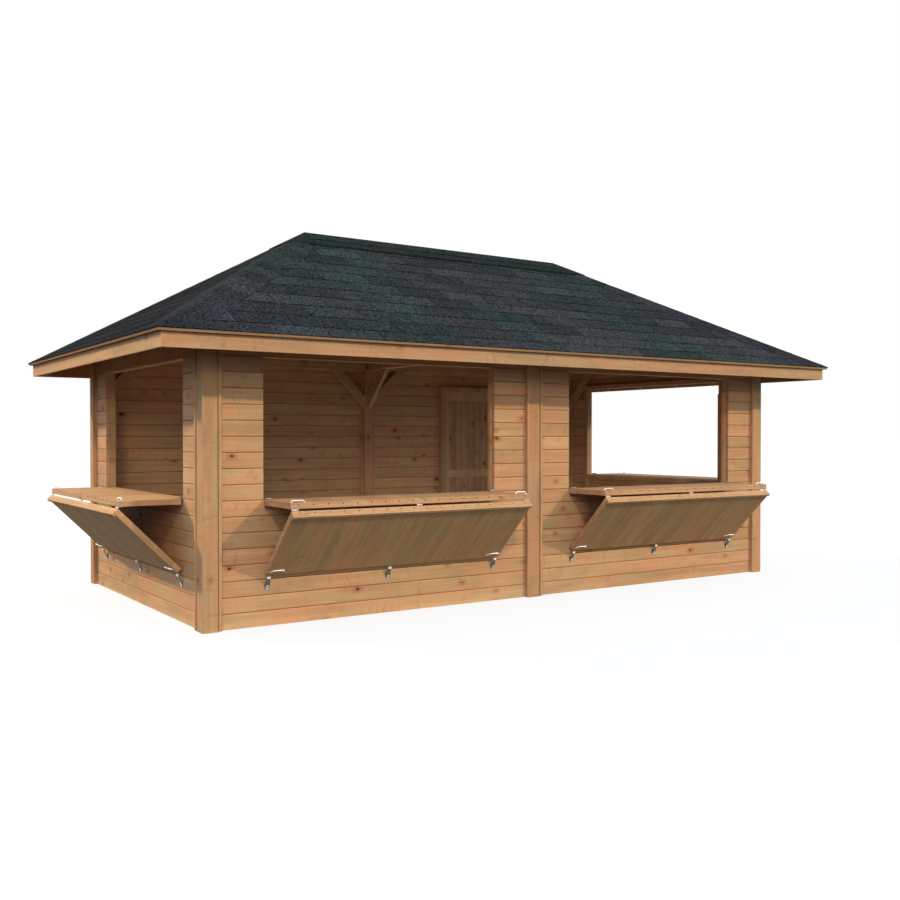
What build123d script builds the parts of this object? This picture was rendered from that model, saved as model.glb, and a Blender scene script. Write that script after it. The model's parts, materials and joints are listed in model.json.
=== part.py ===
from build123d import *
from math import cos, radians, sin, tan
import os

# A hip-roofed timber market stall. Six square posts carry a ring beam, and boards
# fill the bays between them. Four bays have a serving opening with a folding
# hatch: a counter hinged at the sill, and a flap hinged at the counter's outer
# edge that leans back to the wall as a brace. The rear wall has one framed door.
# All lengths are in millimetres. In every wall's own plane, w runs along the
# wall, s points outwards from the posts' outer faces, and z is up.

# Frame of posts and ring beam
FRAME_LENGTH = 6000
FRAME_WIDTH = 3060
POST = 120
BEAM_UNDERSIDE = 2140
BEAM_SEAT = 25
BRACE_LEG = 410
BRACE_WIDTH = 90
BRACE_THICKNESS = 45

# Boarded walls
BOARD_COVER = 117
BOARD_THICKNESS = 28
BOARD_RECESS = 25
WALL_FOOT = 6
SILL_BOARDS = 8
OPENING_BOARDS = 17
OPENING_WIDTH = 2110
BATTEN_WIDTH = 24
BATTEN_DEPTH = 35
INNER_BATTEN_DEPTH = 20
STUD_WIDTH = 45
STUD_DEPTH = 56
STOP_THICKNESS = 12
STOP_DEPTH = 40
STOP_TOP = 1861

# Folding hatches
HATCH_THICKNESS = 45
HATCH_PLANKS = 13
HATCH_RAIL = 70
COUNTER_TOP = 940
COUNTER_BACK = -10
COUNTER_REACH = 453
FLAP_LENGTH = 662
FLAP_LEAN = 45
LIP_THICKNESS = 12
LIP_WIDTH = 48
FLAP_GAP = 5
WALL_HINGE_OUT = -6
WALL_HINGE_RISE = 7
FLAP_HINGE_DROP = 6

# Hinges, handles and catches
PLATE = 2.5
KNUCKLE_RADIUS = 5
PIN_RADIUS = 2.5
PIN_CLEARANCE = 0.3
HINGE_WIDTH = 50
STRAP_WIDTH = 30
STRAP_LENGTH = 28
WALL_HINGE_SPOT = 1020
FLAP_HINGE_SPOT = 1025
FLAP_HINGE_LEAF = 32
HANDLE_WIDTH = 108
HANDLE_RISE = 20
HANDLE_BAR = 8
ROUND_SIDES = 12
COUNTER_HANDLE_SPOT = 990
COUNTER_HANDLE_INSET = 28
FLAP_HANDLE_SPOT = 970
FLAP_HANDLE_INSET = 55
CATCH_SPOT = 1030
CATCH_FOOT = 285
CATCH_PLATE_WIDTH = 30
CATCH_PLATE_HEIGHT = 58
CATCH_TOP = 380
CATCH_WIRE = 5
CATCH_REACH = 16

# Rear door
DOORWAY_LEFT = 966
DOORWAY_WIDTH = 1008
DOOR_BOARDS = 17
DOOR_JAMB = 45
DOOR_GAP = 5
DOOR_LEAF = 40
DOOR_PANEL = 18
DOOR_STILE = 90
DOOR_TOP_RAIL = 110
DOOR_MID_RAIL = 89
DOOR_MID_RAIL_FOOT = 924
DOOR_BOTTOM_RAIL = 150
DOOR_FOOT = 15
DOOR_STOP = 15
DOOR_HINGE_OUT = 8
DOOR_HINGE_RADIUS = 7
DOOR_HINGE_HEIGHT = 70
DOOR_STRAP_LENGTH = 320
DOOR_STRAP_HEIGHT = 34
DOOR_STRAP = 4
DOOR_HINGE_HEIGHTS = (260, 1690)
DOOR_HANDLE_HEIGHT = 1060

# Roof
PITCH = 30
ROOF_EDGE_OUT = 467
ROOF_EDGE_TOP = 2115
COVER = 8
DECK = 18
RIDGE_GAP = 3
CAP = 8
CAP_REACH = 242
FASCIA_OUT = 427
FASCIA = 20
FASCIA_FOOT = 1987
SOFFIT_LIFT = 4
RAFTER_WIDTH = 45
RAFTER_DEPTH = 120
RAFTER_SPACING = 588
HIP_WIDTH = 45
HIP_DEPTH = 145
RIDGE_BEAM_WIDTH = 45
RIDGE_BEAM_DEPTH = 195
RIDGE_BEAM_PAST = 55

# Sizes that follow
HALF_LENGTH = FRAME_LENGTH / 2
HALF_WIDTH = FRAME_WIDTH / 2
RIDGE_HALF = HALF_LENGTH - HALF_WIDTH
BAY = (FRAME_LENGTH - POST) / 2
BAY_HALF_CLEAR = (BAY - POST) / 2
END_HALF_CLEAR = HALF_WIDTH - POST
OPENING_HALF = OPENING_WIDTH / 2
SILL_TOP = BOARD_COVER * SILL_BOARDS
OPENING_TOP = BOARD_COVER * OPENING_BOARDS
BOARD_BACK = BOARD_RECESS + BOARD_THICKNESS
STUD_BACK = BOARD_BACK + STUD_DEPTH
STUD_TOP = OPENING_TOP + STUD_WIDTH
BRACE_INSET = BOARD_BACK + INNER_BATTEN_DEPTH
TIE_BRACE_INSET = (POST - BRACE_THICKNESS) / 2
DOOR_HEAD = BOARD_COVER * DOOR_BOARDS
RISE = tan(radians(PITCH))
COUNTER_FOOT = COUNTER_TOP - HATCH_THICKNESS
WALL_HINGE_HEIGHT = COUNTER_TOP + WALL_HINGE_RISE
FLAP_HINGE_OUT = COUNTER_REACH + FLAP_GAP / 2
FLAP_HINGE_HEIGHT = COUNTER_FOOT - FLAP_HINGE_DROP
FLAP_TURN = 180 - FLAP_LEAN


def roof_height(depth, s):
    """Height at s of the plane that lies this deep, square to the slope, under the roof's top."""
    return ROOF_EDGE_TOP + (ROOF_EDGE_OUT - s) * RISE - depth / cos(radians(PITCH))


def eave_point(depth):
    """A point of the roof's lower edge, which is cut square to the slope."""
    return (
        ROOF_EDGE_OUT - depth * sin(radians(PITCH)),
        ROOF_EDGE_TOP - depth * cos(radians(PITCH)),
    )


UNDER_DECK = COVER + DECK
BEAM_TOP = roof_height(UNDER_DECK + RAFTER_DEPTH, 0) + BEAM_SEAT

# The hatches reach further out at the front than the roof does at the back, so
# the building stands this far behind the origin, which is the middle of it all.
FLAP_OUTSIDE = FLAP_HINGE_DROP + HATCH_THICKNESS + LIP_THICKNESS
FLAP_REACH = (
    FLAP_HINGE_OUT
    + FLAP_OUTSIDE * sin(radians(FLAP_LEAN))
    - FLAP_GAP / 2 * cos(radians(FLAP_LEAN))
)
BUILDING_Y = (FLAP_REACH - ROOF_EDGE_OUT) / 2


def wall_plane(x, y, out_x, out_y):
    """Ground plane of a wall: local x is w, along the wall, and local y is s, outwards."""
    return Plane(origin=(x, y, 0), x_dir=(out_y, -out_x, 0), z_dir=(0, 0, 1))


FRONT = wall_plane(0, -HALF_WIDTH, 0, -1)
BACK = wall_plane(0, HALF_WIDTH, 0, 1)
LEFT = wall_plane(-HALF_LENGTH, 0, -1, 0)
RIGHT = wall_plane(HALF_LENGTH, 0, 1, 0)
LEFT_MIDDLE = wall_plane(-POST / 2, 0, -1, 0)
LONG_SIDES = (FRONT, BACK)
END_SIDES = (LEFT, RIGHT)
FRONT_BAYS = {
    "front_left": wall_plane(-BAY / 2, -HALF_WIDTH, 0, -1),
    "front_right": wall_plane(BAY / 2, -HALF_WIDTH, 0, -1),
}
END_BAYS = {"left_end": LEFT, "right_end": RIGHT}
HATCH_BAYS = {**FRONT_BAYS, **END_BAYS}
REAR_BAYS = (
    wall_plane(-BAY / 2, HALF_WIDTH, 0, 1),
    wall_plane(BAY / 2, HALF_WIDTH, 0, 1),
)


def section_plane(side, w=0):
    """Upright plane across a wall: local x is s, outwards, local y is up, and it faces along w."""
    return Plane(
        origin=side.from_local_coords((w, 0, 0)), x_dir=side.y_dir, z_dir=side.x_dir
    )


def face_plane(side, s=0):
    """Upright plane along a wall: local x is w, local y is up, and it faces inwards."""
    return Plane(
        origin=side.from_local_coords((0, s, 0)), x_dir=side.x_dir, z_dir=-side.y_dir
    )


def uprights(side, foot, top, rectangles):
    """Square-cut pieces between two heights, each a rectangle w0, w1, s0, s1 in plan."""
    with BuildPart() as pieces:
        with BuildSketch(side.offset(foot)):
            for w0, w1, s0, s1 in rectangles:
                with Locations(((w0 + w1) / 2, (s0 + s1) / 2)):
                    Rectangle(w1 - w0, s1 - s0)
        extrude(amount=top - foot)
    return pieces.part


def lengths(side, outline, spans):
    """One outline in s and z, run along the wall over each span from w0 to w1."""
    with BuildPart() as pieces:
        for w0, w1 in spans:
            with BuildSketch(section_plane(side, w0)):
                with BuildLine():
                    Polyline(*outline, close=True)
                make_face()
            extrude(amount=w1 - w0)
    return pieces.part


def block_outline(s0, s1, foot, top):
    """Corners of an upright rectangle across a wall."""
    return [(s0, foot), (s1, foot), (s1, top), (s0, top)]


def half_length_of(side):
    """Half the length of the frame along one of its four sides."""
    return HALF_LENGTH if side in LONG_SIDES else HALF_WIDTH


def hip_faces(side, inset=0):
    """The two upright planes under a side's hips, each facing away from the side."""
    reach = half_length_of(side) - inset * 2 ** 0.5
    planes = []
    for turn in (-1, 1):
        outwards = side.x_dir * turn - side.y_dir
        planes.append(
            Plane(origin=side.from_local_coords((turn * reach, 0, 0)), z_dir=outwards)
        )
    return planes


def mitred(side, outline):
    """One outline run along a whole side and mitred on the hips at both ends."""
    reach = half_length_of(side) + 2 * ROOF_EDGE_OUT
    with BuildPart() as run:
        with BuildSketch(section_plane(side, -reach)):
            with BuildLine():
                Polyline(*outline, close=True)
            make_face()
        extrude(amount=2 * reach)
        for plane in hip_faces(side):
            split(bisect_by=plane, keep=Keep.BOTTOM)
    return run.part


def hipped_solid(s_limit, foot, depth):
    """Everything under a hipped plane, this deep below the roof's top, inside s_limit."""
    eave = roof_height(depth, s_limit)
    peak = roof_height(depth, -HALF_WIDTH)
    out_y = HALF_WIDTH + s_limit
    out_x = HALF_LENGTH + s_limit
    with BuildPart() as solid:
        with BuildSketch(Plane.YZ):
            with BuildLine():
                Polyline(
                    (-out_y, foot), (out_y, foot), (out_y, eave), (0, peak),
                    (-out_y, eave), close=True,
                )
            make_face()
        extrude(amount=out_x, both=True)
        with BuildSketch(Plane.XZ):
            with BuildLine():
                Polyline(
                    (-out_x, foot), (out_x, foot), (out_x, eave), (RIDGE_HALF, peak),
                    (-RIDGE_HALF, peak), (-out_x, eave), close=True,
                )
            make_face()
        extrude(amount=out_y, both=True, mode=Mode.INTERSECT)
    return solid.part


def save(name, *pieces):
    """Gather the solids of one node, set them in the part's frame and write them."""
    with BuildPart() as node:
        for piece in pieces:
            add(piece)
    placed = node.part.moved(Location((0, BUILDING_Y, 0)))
    placed.label = name
    export_step(placed, f"parts/{name}.step")


os.makedirs("parts", exist_ok=True)


# Posts, three along the front and three along the back
def posts(side):
    centre = BAY
    spots = (-centre, 0, centre)
    return uprights(side, 0, BEAM_UNDERSIDE, [(w - POST / 2, w + POST / 2, -POST, 0) for w in spots])


front_posts = posts(FRONT)
back_posts = posts(BACK)
save("posts_front", front_posts)
save("posts_back", back_posts)

# Ring beam on the posts: two long beams, with the end beams and a middle tie
# butted between them
beam_outline = block_outline(-POST, 0, BEAM_UNDERSIDE, BEAM_TOP)
front_beam = lengths(FRONT, beam_outline, [(-HALF_LENGTH, HALF_LENGTH)])
back_beam = lengths(BACK, beam_outline, [(-HALF_LENGTH, HALF_LENGTH)])
end_beams = [lengths(side, beam_outline, [(-END_HALF_CLEAR, END_HALF_CLEAR)]) for side in END_SIDES]
save("beam_front", front_beam)
save("beam_back", back_beam)
save("beams_ends", *end_beams)
save("beam_middle", lengths(LEFT_MIDDLE, beam_outline, [(-END_HALF_CLEAR, END_HALF_CLEAR)]))


# Knee braces from the rear posts up to the ring beam, and from the two middle
# posts up to the tie
def brace(side, post_face, turn, inset=BRACE_INSET):
    """A brace from a post's face, towards +w or -w, with plumb and level ends."""
    across = BRACE_WIDTH * 2 ** 0.5
    with BuildPart() as knee:
        with BuildSketch(face_plane(side, -inset)):
            with BuildLine():
                Polyline(
                    (post_face, BEAM_UNDERSIDE - BRACE_LEG),
                    (post_face + turn * BRACE_LEG, BEAM_UNDERSIDE),
                    (post_face + turn * (BRACE_LEG - across), BEAM_UNDERSIDE),
                    (post_face, BEAM_UNDERSIDE - BRACE_LEG + across),
                    close=True,
                )
            make_face()
        extrude(amount=BRACE_THICKNESS)
    return knee.part


save(
    "braces",
    brace(BACK, POST / 2, 1),
    brace(BACK, -POST / 2, -1),
    brace(BACK, BAY - POST / 2, -1),
    brace(BACK, -BAY + POST / 2, 1),
    brace(LEFT, END_HALF_CLEAR, -1),
    brace(RIGHT, -END_HALF_CLEAR, 1),
    brace(LEFT_MIDDLE, END_HALF_CLEAR, -1, TIE_BRACE_INSET),
    brace(LEFT_MIDDLE, -END_HALF_CLEAR, 1, TIE_BRACE_INSET),
)


# Boarded panels round the serving openings
def sill_wall(bay):
    return lengths(
        bay,
        block_outline(-BOARD_BACK, -BOARD_RECESS, WALL_FOOT, SILL_TOP),
        [(-BAY_HALF_CLEAR, BAY_HALF_CLEAR)],
    )


def side_boards(bay):
    return lengths(
        bay,
        block_outline(-BOARD_BACK, -BOARD_RECESS, SILL_TOP, OPENING_TOP),
        [(-BAY_HALF_CLEAR, -OPENING_HALF), (OPENING_HALF, BAY_HALF_CLEAR)],
    )


def lintel(bay):
    return lengths(
        bay,
        block_outline(-BOARD_BACK, -BOARD_RECESS, OPENING_TOP, BEAM_UNDERSIDE),
        [(-BAY_HALF_CLEAR, BAY_HALF_CLEAR)],
    )


for place, bays in (("front", FRONT_BAYS), ("ends", END_BAYS)):
    save(f"sill_walls_{place}", *[sill_wall(bay) for bay in bays.values()])
    save(f"side_boards_{place}", *[side_boards(bay) for bay in bays.values()])
    save(f"lintels_{place}", *[lintel(bay) for bay in bays.values()])

# Rear wall: one plain bay, and a bay split beside and over the doorway
DOORWAY_RIGHT = DOORWAY_LEFT + DOORWAY_WIDTH
rear_boards = block_outline(-BOARD_BACK, -BOARD_RECESS, WALL_FOOT, BEAM_UNDERSIDE)
save("back_wall_plain", lengths(BACK, rear_boards, [(-BAY + POST / 2, -POST / 2)]))
save(
    "back_wall_beside_door",
    lengths(BACK, rear_boards, [(POST / 2, DOORWAY_LEFT), (DOORWAY_RIGHT, BAY - POST / 2)]),
)
save(
    "back_wall_over_door",
    lengths(
        BACK,
        block_outline(-BOARD_BACK, -BOARD_RECESS, DOOR_HEAD, BEAM_UNDERSIDE),
        [(DOORWAY_LEFT, DOORWAY_RIGHT)],
    ),
)


# Battens beside every post, one outside and one inside, that hold the boards' ends
def battens(bay):
    rows = (
        (-BOARD_RECESS, -BOARD_RECESS + BATTEN_DEPTH),
        (-BOARD_BACK - INNER_BATTEN_DEPTH, -BOARD_BACK),
    )
    rectangles = []
    for s0, s1 in rows:
        rectangles.append((-BAY_HALF_CLEAR, -BAY_HALF_CLEAR + BATTEN_WIDTH, s0, s1))
        rectangles.append((BAY_HALF_CLEAR - BATTEN_WIDTH, BAY_HALF_CLEAR, s0, s1))
    return uprights(bay, WALL_FOOT, BEAM_UNDERSIDE, rectangles)


save("battens_front", *[battens(bay) for bay in FRONT_BAYS.values()])
save("battens_ends", *[battens(bay) for bay in END_BAYS.values()])
save("battens_back", *[battens(bay) for bay in REAR_BAYS])


# Studs beside each opening, with a thin stop batten on their inner edge
def opening_jamb(bay, turn):
    face = turn * OPENING_HALF
    with BuildPart() as jamb:
        with BuildSketch(bay.offset(WALL_FOOT)):
            with Locations((face + turn * STUD_WIDTH / 2, -BOARD_BACK - STUD_DEPTH / 2)):
                Rectangle(STUD_WIDTH, STUD_DEPTH)
        extrude(amount=STUD_TOP - WALL_FOOT)
        with BuildSketch(bay.offset(SILL_TOP)):
            with Locations((face - turn * STOP_THICKNESS / 2, -STUD_BACK + STOP_DEPTH / 2)):
                Rectangle(STOP_THICKNESS, STOP_DEPTH)
        extrude(amount=STOP_TOP - SILL_TOP)
    return jamb.part


def opening_jambs(bay):
    return [opening_jamb(bay, turn) for turn in (-1, 1)]


save("opening_jambs_front", *[jamb for bay in FRONT_BAYS.values() for jamb in opening_jambs(bay)])
save("opening_jambs_ends", *[jamb for bay in END_BAYS.values() for jamb in opening_jambs(bay)])


# Rails between the studs, under and over each opening
def opening_rails(bay):
    spans = [(-OPENING_HALF, OPENING_HALF)]
    sill = block_outline(-STUD_BACK, -BOARD_BACK, SILL_TOP - STUD_WIDTH, SILL_TOP)
    head = block_outline(-STUD_BACK, -BOARD_BACK, OPENING_TOP, STUD_TOP)
    return [lengths(bay, sill, spans), lengths(bay, head, spans)]


save("opening_rails", *[rail for bay in HATCH_BAYS.values() for rail in opening_rails(bay)])


# Hinges, handles and catches
def knuckle(side, s, z, w0, w1, bore=0.0):
    """A hinge knuckle along the wall, round the axis at s and z."""
    with BuildPart() as ring:
        with BuildSketch(section_plane(side, w0)):
            with Locations((s, z)):
                RegularPolygon(KNUCKLE_RADIUS, ROUND_SIDES)
                if bore:
                    RegularPolygon(bore, ROUND_SIDES, major_radius=False, mode=Mode.SUBTRACT)
        extrude(amount=w1 - w0)
    return ring.part


def hinge_pin(side, s, z, w0, w1):
    with BuildPart() as pin:
        with BuildSketch(section_plane(side, w0)):
            with Locations((s, z)):
                RegularPolygon(PIN_RADIUS, ROUND_SIDES)
        extrude(amount=w1 - w0)
    return pin.part


def fused(*pieces):
    """Pieces that touch, made one solid."""
    with BuildPart() as whole:
        for piece in pieces:
            add(piece)
    return whole.part


def wall_hinge_bracket(bay, w):
    """Plate on the sill boards that cranks over the counter's rear edge to two knuckles."""
    face = -BOARD_RECESS
    axis = (WALL_HINGE_OUT, WALL_HINGE_HEIGHT)
    foot = COUNTER_FOOT - STRAP_WIDTH
    outer = HINGE_WIDTH / 2
    inner = STRAP_WIDTH / 2 + PIN_CLEARANCE
    plate = lengths(
        bay,
        block_outline(face, face + PLATE, foot, WALL_HINGE_HEIGHT + PLATE),
        [(w - outer, w + outer)],
    )
    arm_outline = block_outline(face, WALL_HINGE_OUT, WALL_HINGE_HEIGHT, WALL_HINGE_HEIGHT + PLATE)
    arms = lengths(bay, arm_outline, [(w - outer, w - inner), (w + inner, w + outer)])
    return fused(
        plate,
        arms,
        knuckle(bay, *axis, w - outer, w - inner),
        knuckle(bay, *axis, w + inner, w + outer),
        hinge_pin(bay, *axis, w - inner, w + inner),
    )


def wall_hinge_strap(bay, w):
    """Strap on the counter's top with the middle knuckle."""
    half = STRAP_WIDTH / 2
    bore = PIN_RADIUS + PIN_CLEARANCE
    strap = lengths(
        bay,
        block_outline(WALL_HINGE_OUT, WALL_HINGE_OUT + STRAP_LENGTH, COUNTER_TOP, COUNTER_TOP + PLATE),
        [(w - half, w + half)],
    )
    return fused(
        strap, knuckle(bay, WALL_HINGE_OUT, WALL_HINGE_HEIGHT, w - half, w + half, bore)
    )


def flap_hinge_leaf(bay, w):
    """Leaf under the counter's outer edge, with two knuckles and the pin."""
    axis = (FLAP_HINGE_OUT, FLAP_HINGE_HEIGHT)
    outer = HINGE_WIDTH / 2
    inner = STRAP_WIDTH / 2 + PIN_CLEARANCE
    leaf_outline = block_outline(
        FLAP_HINGE_OUT - FLAP_HINGE_LEAF, FLAP_HINGE_OUT, COUNTER_FOOT - PLATE, COUNTER_FOOT
    )
    leaf = lengths(bay, leaf_outline, [(w - outer, w - inner), (w + inner, w + outer)])
    tie_outline = block_outline(
        FLAP_HINGE_OUT - FLAP_HINGE_LEAF,
        FLAP_HINGE_OUT - FLAP_HINGE_DROP - KNUCKLE_RADIUS,
        COUNTER_FOOT - PLATE,
        COUNTER_FOOT,
    )
    tie = lengths(bay, tie_outline, [(w - inner, w + inner)])
    return fused(
        leaf,
        tie,
        knuckle(bay, *axis, w - outer, w - inner),
        knuckle(bay, *axis, w + inner, w + outer),
        hinge_pin(bay, *axis, w - inner, w + inner),
    )


def handle(bay, w, out, foot):
    """A bow handle standing on a face, its corners cut off; its two feet lie along the wall."""
    half = HANDLE_WIDTH / 2
    inner = half - HANDLE_BAR
    under = HANDLE_RISE - HANDLE_BAR
    cut = HANDLE_BAR / 2
    standing = Plane(
        origin=bay.from_local_coords((w, out, foot)), x_dir=bay.x_dir, z_dir=-bay.y_dir
    )
    with BuildPart() as bow:
        with BuildSketch(standing):
            with BuildLine():
                Polyline(
                    (-half, 0), (-half, HANDLE_RISE - cut), (cut - half, HANDLE_RISE),
                    (half - cut, HANDLE_RISE), (half, HANDLE_RISE - cut), (half, 0),
                    (inner, 0), (inner, under), (-inner, under), (-inner, 0), close=True,
                )
            make_face()
        extrude(amount=HANDLE_BAR / 2, both=True)
    return bow.part


def oblong(width, height, cut):
    """A rectangle with its corners cut off."""
    x = width / 2
    y = height / 2
    with BuildSketch() as shape:
        with BuildLine():
            Polyline(
                (-x, cut - y), (cut - x, -y), (x - cut, -y), (x, cut - y),
                (x, y - cut), (x - cut, y), (cut - x, y), (-x, y - cut), close=True,
            )
        make_face()
    return shape.sketch


def catch(bay, w):
    """Toggle catch on the sill boards: a base plate, its lever and a wire loop above."""
    face = -BOARD_RECESS
    half = CATCH_PLATE_WIDTH / 2
    plate_top = CATCH_FOOT + CATCH_PLATE_HEIGHT
    loop_middle = (plate_top + CATCH_TOP) / 2
    loop_width = CATCH_PLATE_WIDTH * 0.8
    loop_height = CATCH_TOP - plate_top + CATCH_PLATE_WIDTH
    cut = loop_width / 3
    plate = lengths(bay, block_outline(face, face + PLATE, CATCH_FOOT, plate_top), [(w - half, w + half)])
    lever_outline = [
        (face, CATCH_FOOT + half),
        (face + CATCH_REACH, CATCH_FOOT),
        (face + CATCH_REACH + PLATE, CATCH_FOOT),
        (face + CATCH_REACH / 2, plate_top - PLATE),
        (face, plate_top - PLATE),
    ]
    lever = lengths(bay, lever_outline, [(w - half / 2, w + half / 2)])
    with BuildPart() as loop:
        with BuildSketch(face_plane(bay, face + CATCH_WIRE)):
            with Locations((w, loop_middle)):
                add(oblong(loop_width, loop_height, cut))
                add(
                    oblong(
                        loop_width - 2 * CATCH_WIRE, loop_height - 2 * CATCH_WIRE,
                        cut - CATCH_WIRE / 2,
                    ),
                    mode=Mode.SUBTRACT,
                )
        extrude(amount=CATCH_WIRE)
    return fused(plate, lever, loop.part)


# Folding hatches. A leaf is planks on a frame of rails, which shows on its other face.
def leaf(bay, s0, s1, foot):
    """A framed leaf lying level from s0 to s1, with its planks on top."""
    middle = (s0 + s1) / 2
    with BuildPart() as panel:
        with BuildSketch(bay.offset(foot)):
            with Locations((0, middle)):
                Rectangle(OPENING_WIDTH, s1 - s0)
        extrude(amount=HATCH_THICKNESS)
        field_width = (OPENING_WIDTH - 3 * HATCH_RAIL) / 2
        with BuildSketch(bay.offset(foot)):
            with Locations(
                (-(field_width + HATCH_RAIL) / 2, middle), ((field_width + HATCH_RAIL) / 2, middle)
            ):
                Rectangle(field_width, s1 - s0 - 2 * HATCH_RAIL)
        extrude(amount=HATCH_THICKNESS - HATCH_PLANKS, mode=Mode.SUBTRACT)
    return panel.part


def leaned(bay, piece):
    """Turn a piece that lies level beyond the counter down to the flap's resting lean."""
    hinge = Axis(
        bay.from_local_coords((0, FLAP_HINGE_OUT, FLAP_HINGE_HEIGHT)), bay.x_dir
    )
    return piece.rotate(hinge, -FLAP_TURN)


def flap(bay):
    """The flap, made level beyond the counter, with a lip batten over its planks."""
    near = FLAP_HINGE_OUT + FLAP_GAP / 2
    lip = lengths(
        bay,
        block_outline(near, near + LIP_WIDTH, COUNTER_TOP, COUNTER_TOP + LIP_THICKNESS),
        [(-OPENING_HALF, OPENING_HALF)],
    )
    return leaned(bay, fused(leaf(bay, near, near + FLAP_LENGTH, COUNTER_FOOT), lip))


def flap_hinge_strap(bay, w):
    """Strap on the flap's face with the middle knuckle, made level beyond the counter."""
    half = STRAP_WIDTH / 2
    outline = block_outline(
        FLAP_HINGE_OUT, FLAP_HINGE_OUT + FLAP_HINGE_LEAF, COUNTER_FOOT - PLATE, COUNTER_FOOT
    )
    strap = lengths(bay, outline, [(w - half, w + half)])
    bore = PIN_RADIUS + PIN_CLEARANCE
    ring = knuckle(bay, FLAP_HINGE_OUT, FLAP_HINGE_HEIGHT, w - half, w + half, bore)
    with BuildPart() as whole:
        add(strap)
        add(hinge_pin_space(bay, w, half, bore), mode=Mode.SUBTRACT)
        add(ring)
    return leaned(bay, whole.part)


def hinge_pin_space(bay, w, half, bore):
    """The room a pin takes through a strap."""
    with BuildPart() as space:
        with BuildSketch(section_plane(bay, w - half)):
            with Locations((FLAP_HINGE_OUT, FLAP_HINGE_HEIGHT)):
                RegularPolygon(bore, ROUND_SIDES, major_radius=False)
        extrude(amount=2 * half)
    return space.part


for name, bay in HATCH_BAYS.items():
    save(f"counter_{name}", leaf(bay, COUNTER_BACK, COUNTER_REACH, COUNTER_FOOT))
    save(
        f"counter_fittings_{name}",
        *[wall_hinge_strap(bay, w) for w in (-WALL_HINGE_SPOT, WALL_HINGE_SPOT)],
        *[flap_hinge_leaf(bay, w) for w in (-FLAP_HINGE_SPOT, 0, FLAP_HINGE_SPOT)],
        *[
            handle(bay, w, COUNTER_REACH - COUNTER_HANDLE_INSET, COUNTER_TOP)
            for w in (-COUNTER_HANDLE_SPOT, COUNTER_HANDLE_SPOT)
        ],
    )
    save(f"flap_{name}", flap(bay))
    far_edge = FLAP_HINGE_OUT + FLAP_GAP / 2 + FLAP_LENGTH
    save(
        f"flap_fittings_{name}",
        *[flap_hinge_strap(bay, w) for w in (-FLAP_HINGE_SPOT, 0, FLAP_HINGE_SPOT)],
        *[
            leaned(bay, handle(bay, w, far_edge - FLAP_HANDLE_INSET, COUNTER_TOP))
            for w in (-FLAP_HANDLE_SPOT, FLAP_HANDLE_SPOT)
        ],
    )

save(
    "hatch_brackets",
    *[
        wall_hinge_bracket(bay, w)
        for bay in HATCH_BAYS.values()
        for w in (-WALL_HINGE_SPOT, WALL_HINGE_SPOT)
    ],
)
save(
    "hatch_catches",
    *[catch(bay, w) for bay in HATCH_BAYS.values() for w in (-CATCH_SPOT, 0, CATCH_SPOT)],
)

# Rear door: a frame with stops in the doorway, and a framed leaf that opens outwards
leaf_left = DOORWAY_LEFT + DOOR_JAMB + DOOR_GAP
leaf_right = DOORWAY_RIGHT - DOOR_JAMB - DOOR_GAP
leaf_top = DOOR_HEAD - DOOR_JAMB - DOOR_GAP
leaf_width = leaf_right - leaf_left
leaf_middle = (leaf_left + leaf_right) / 2
doorway_middle = (DOORWAY_LEFT + DOORWAY_RIGHT) / 2
stop_face = BOARD_RECESS + DOOR_LEAF + DOOR_GAP


def doorway_frame():
    """Jambs and head, with a stop behind the leaf."""
    clear = DOORWAY_WIDTH - 2 * DOOR_JAMB
    head_foot = DOOR_HEAD - DOOR_JAMB
    with BuildPart() as frame:
        with BuildSketch(face_plane(BACK, -BOARD_RECESS)):
            with Locations((doorway_middle, DOOR_HEAD / 2)):
                Rectangle(DOORWAY_WIDTH, DOOR_HEAD)
            with Locations((doorway_middle, head_foot / 2)):
                Rectangle(clear, head_foot, mode=Mode.SUBTRACT)
        extrude(amount=STUD_BACK - BOARD_RECESS)
        with BuildSketch(face_plane(BACK, -stop_face)):
            with Locations((doorway_middle, head_foot / 2)):
                Rectangle(clear, head_foot)
            with Locations((doorway_middle, (head_foot - DOOR_STOP) / 2)):
                Rectangle(clear - 2 * DOOR_STOP, head_foot - DOOR_STOP, mode=Mode.SUBTRACT)
        extrude(amount=STUD_BACK - stop_face)
    return frame.part


def door_leaf():
    """Stiles and rails round recessed vertical boards."""
    fields = (
        (DOOR_FOOT + DOOR_BOTTOM_RAIL, DOOR_MID_RAIL_FOOT),
        (DOOR_MID_RAIL_FOOT + DOOR_MID_RAIL, leaf_top - DOOR_TOP_RAIL),
    )
    recess = (DOOR_LEAF - DOOR_PANEL) / 2
    with BuildPart() as door:
        with BuildSketch(face_plane(BACK, -BOARD_RECESS)):
            with Locations((leaf_middle, (DOOR_FOOT + leaf_top) / 2)):
                Rectangle(leaf_width, leaf_top - DOOR_FOOT)
        extrude(amount=DOOR_LEAF)
        for depth in (BOARD_RECESS, BOARD_RECESS + DOOR_LEAF - recess):
            with BuildSketch(face_plane(BACK, -depth)):
                for foot, top in fields:
                    with Locations((leaf_middle, (foot + top) / 2)):
                        Rectangle(leaf_width - 2 * DOOR_STILE, top - foot)
            extrude(amount=recess, mode=Mode.SUBTRACT)
    return door.part


door_axis_w = leaf_left - DOOR_GAP / 2
door_axis_s = -BOARD_RECESS + DOOR_HINGE_OUT


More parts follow.
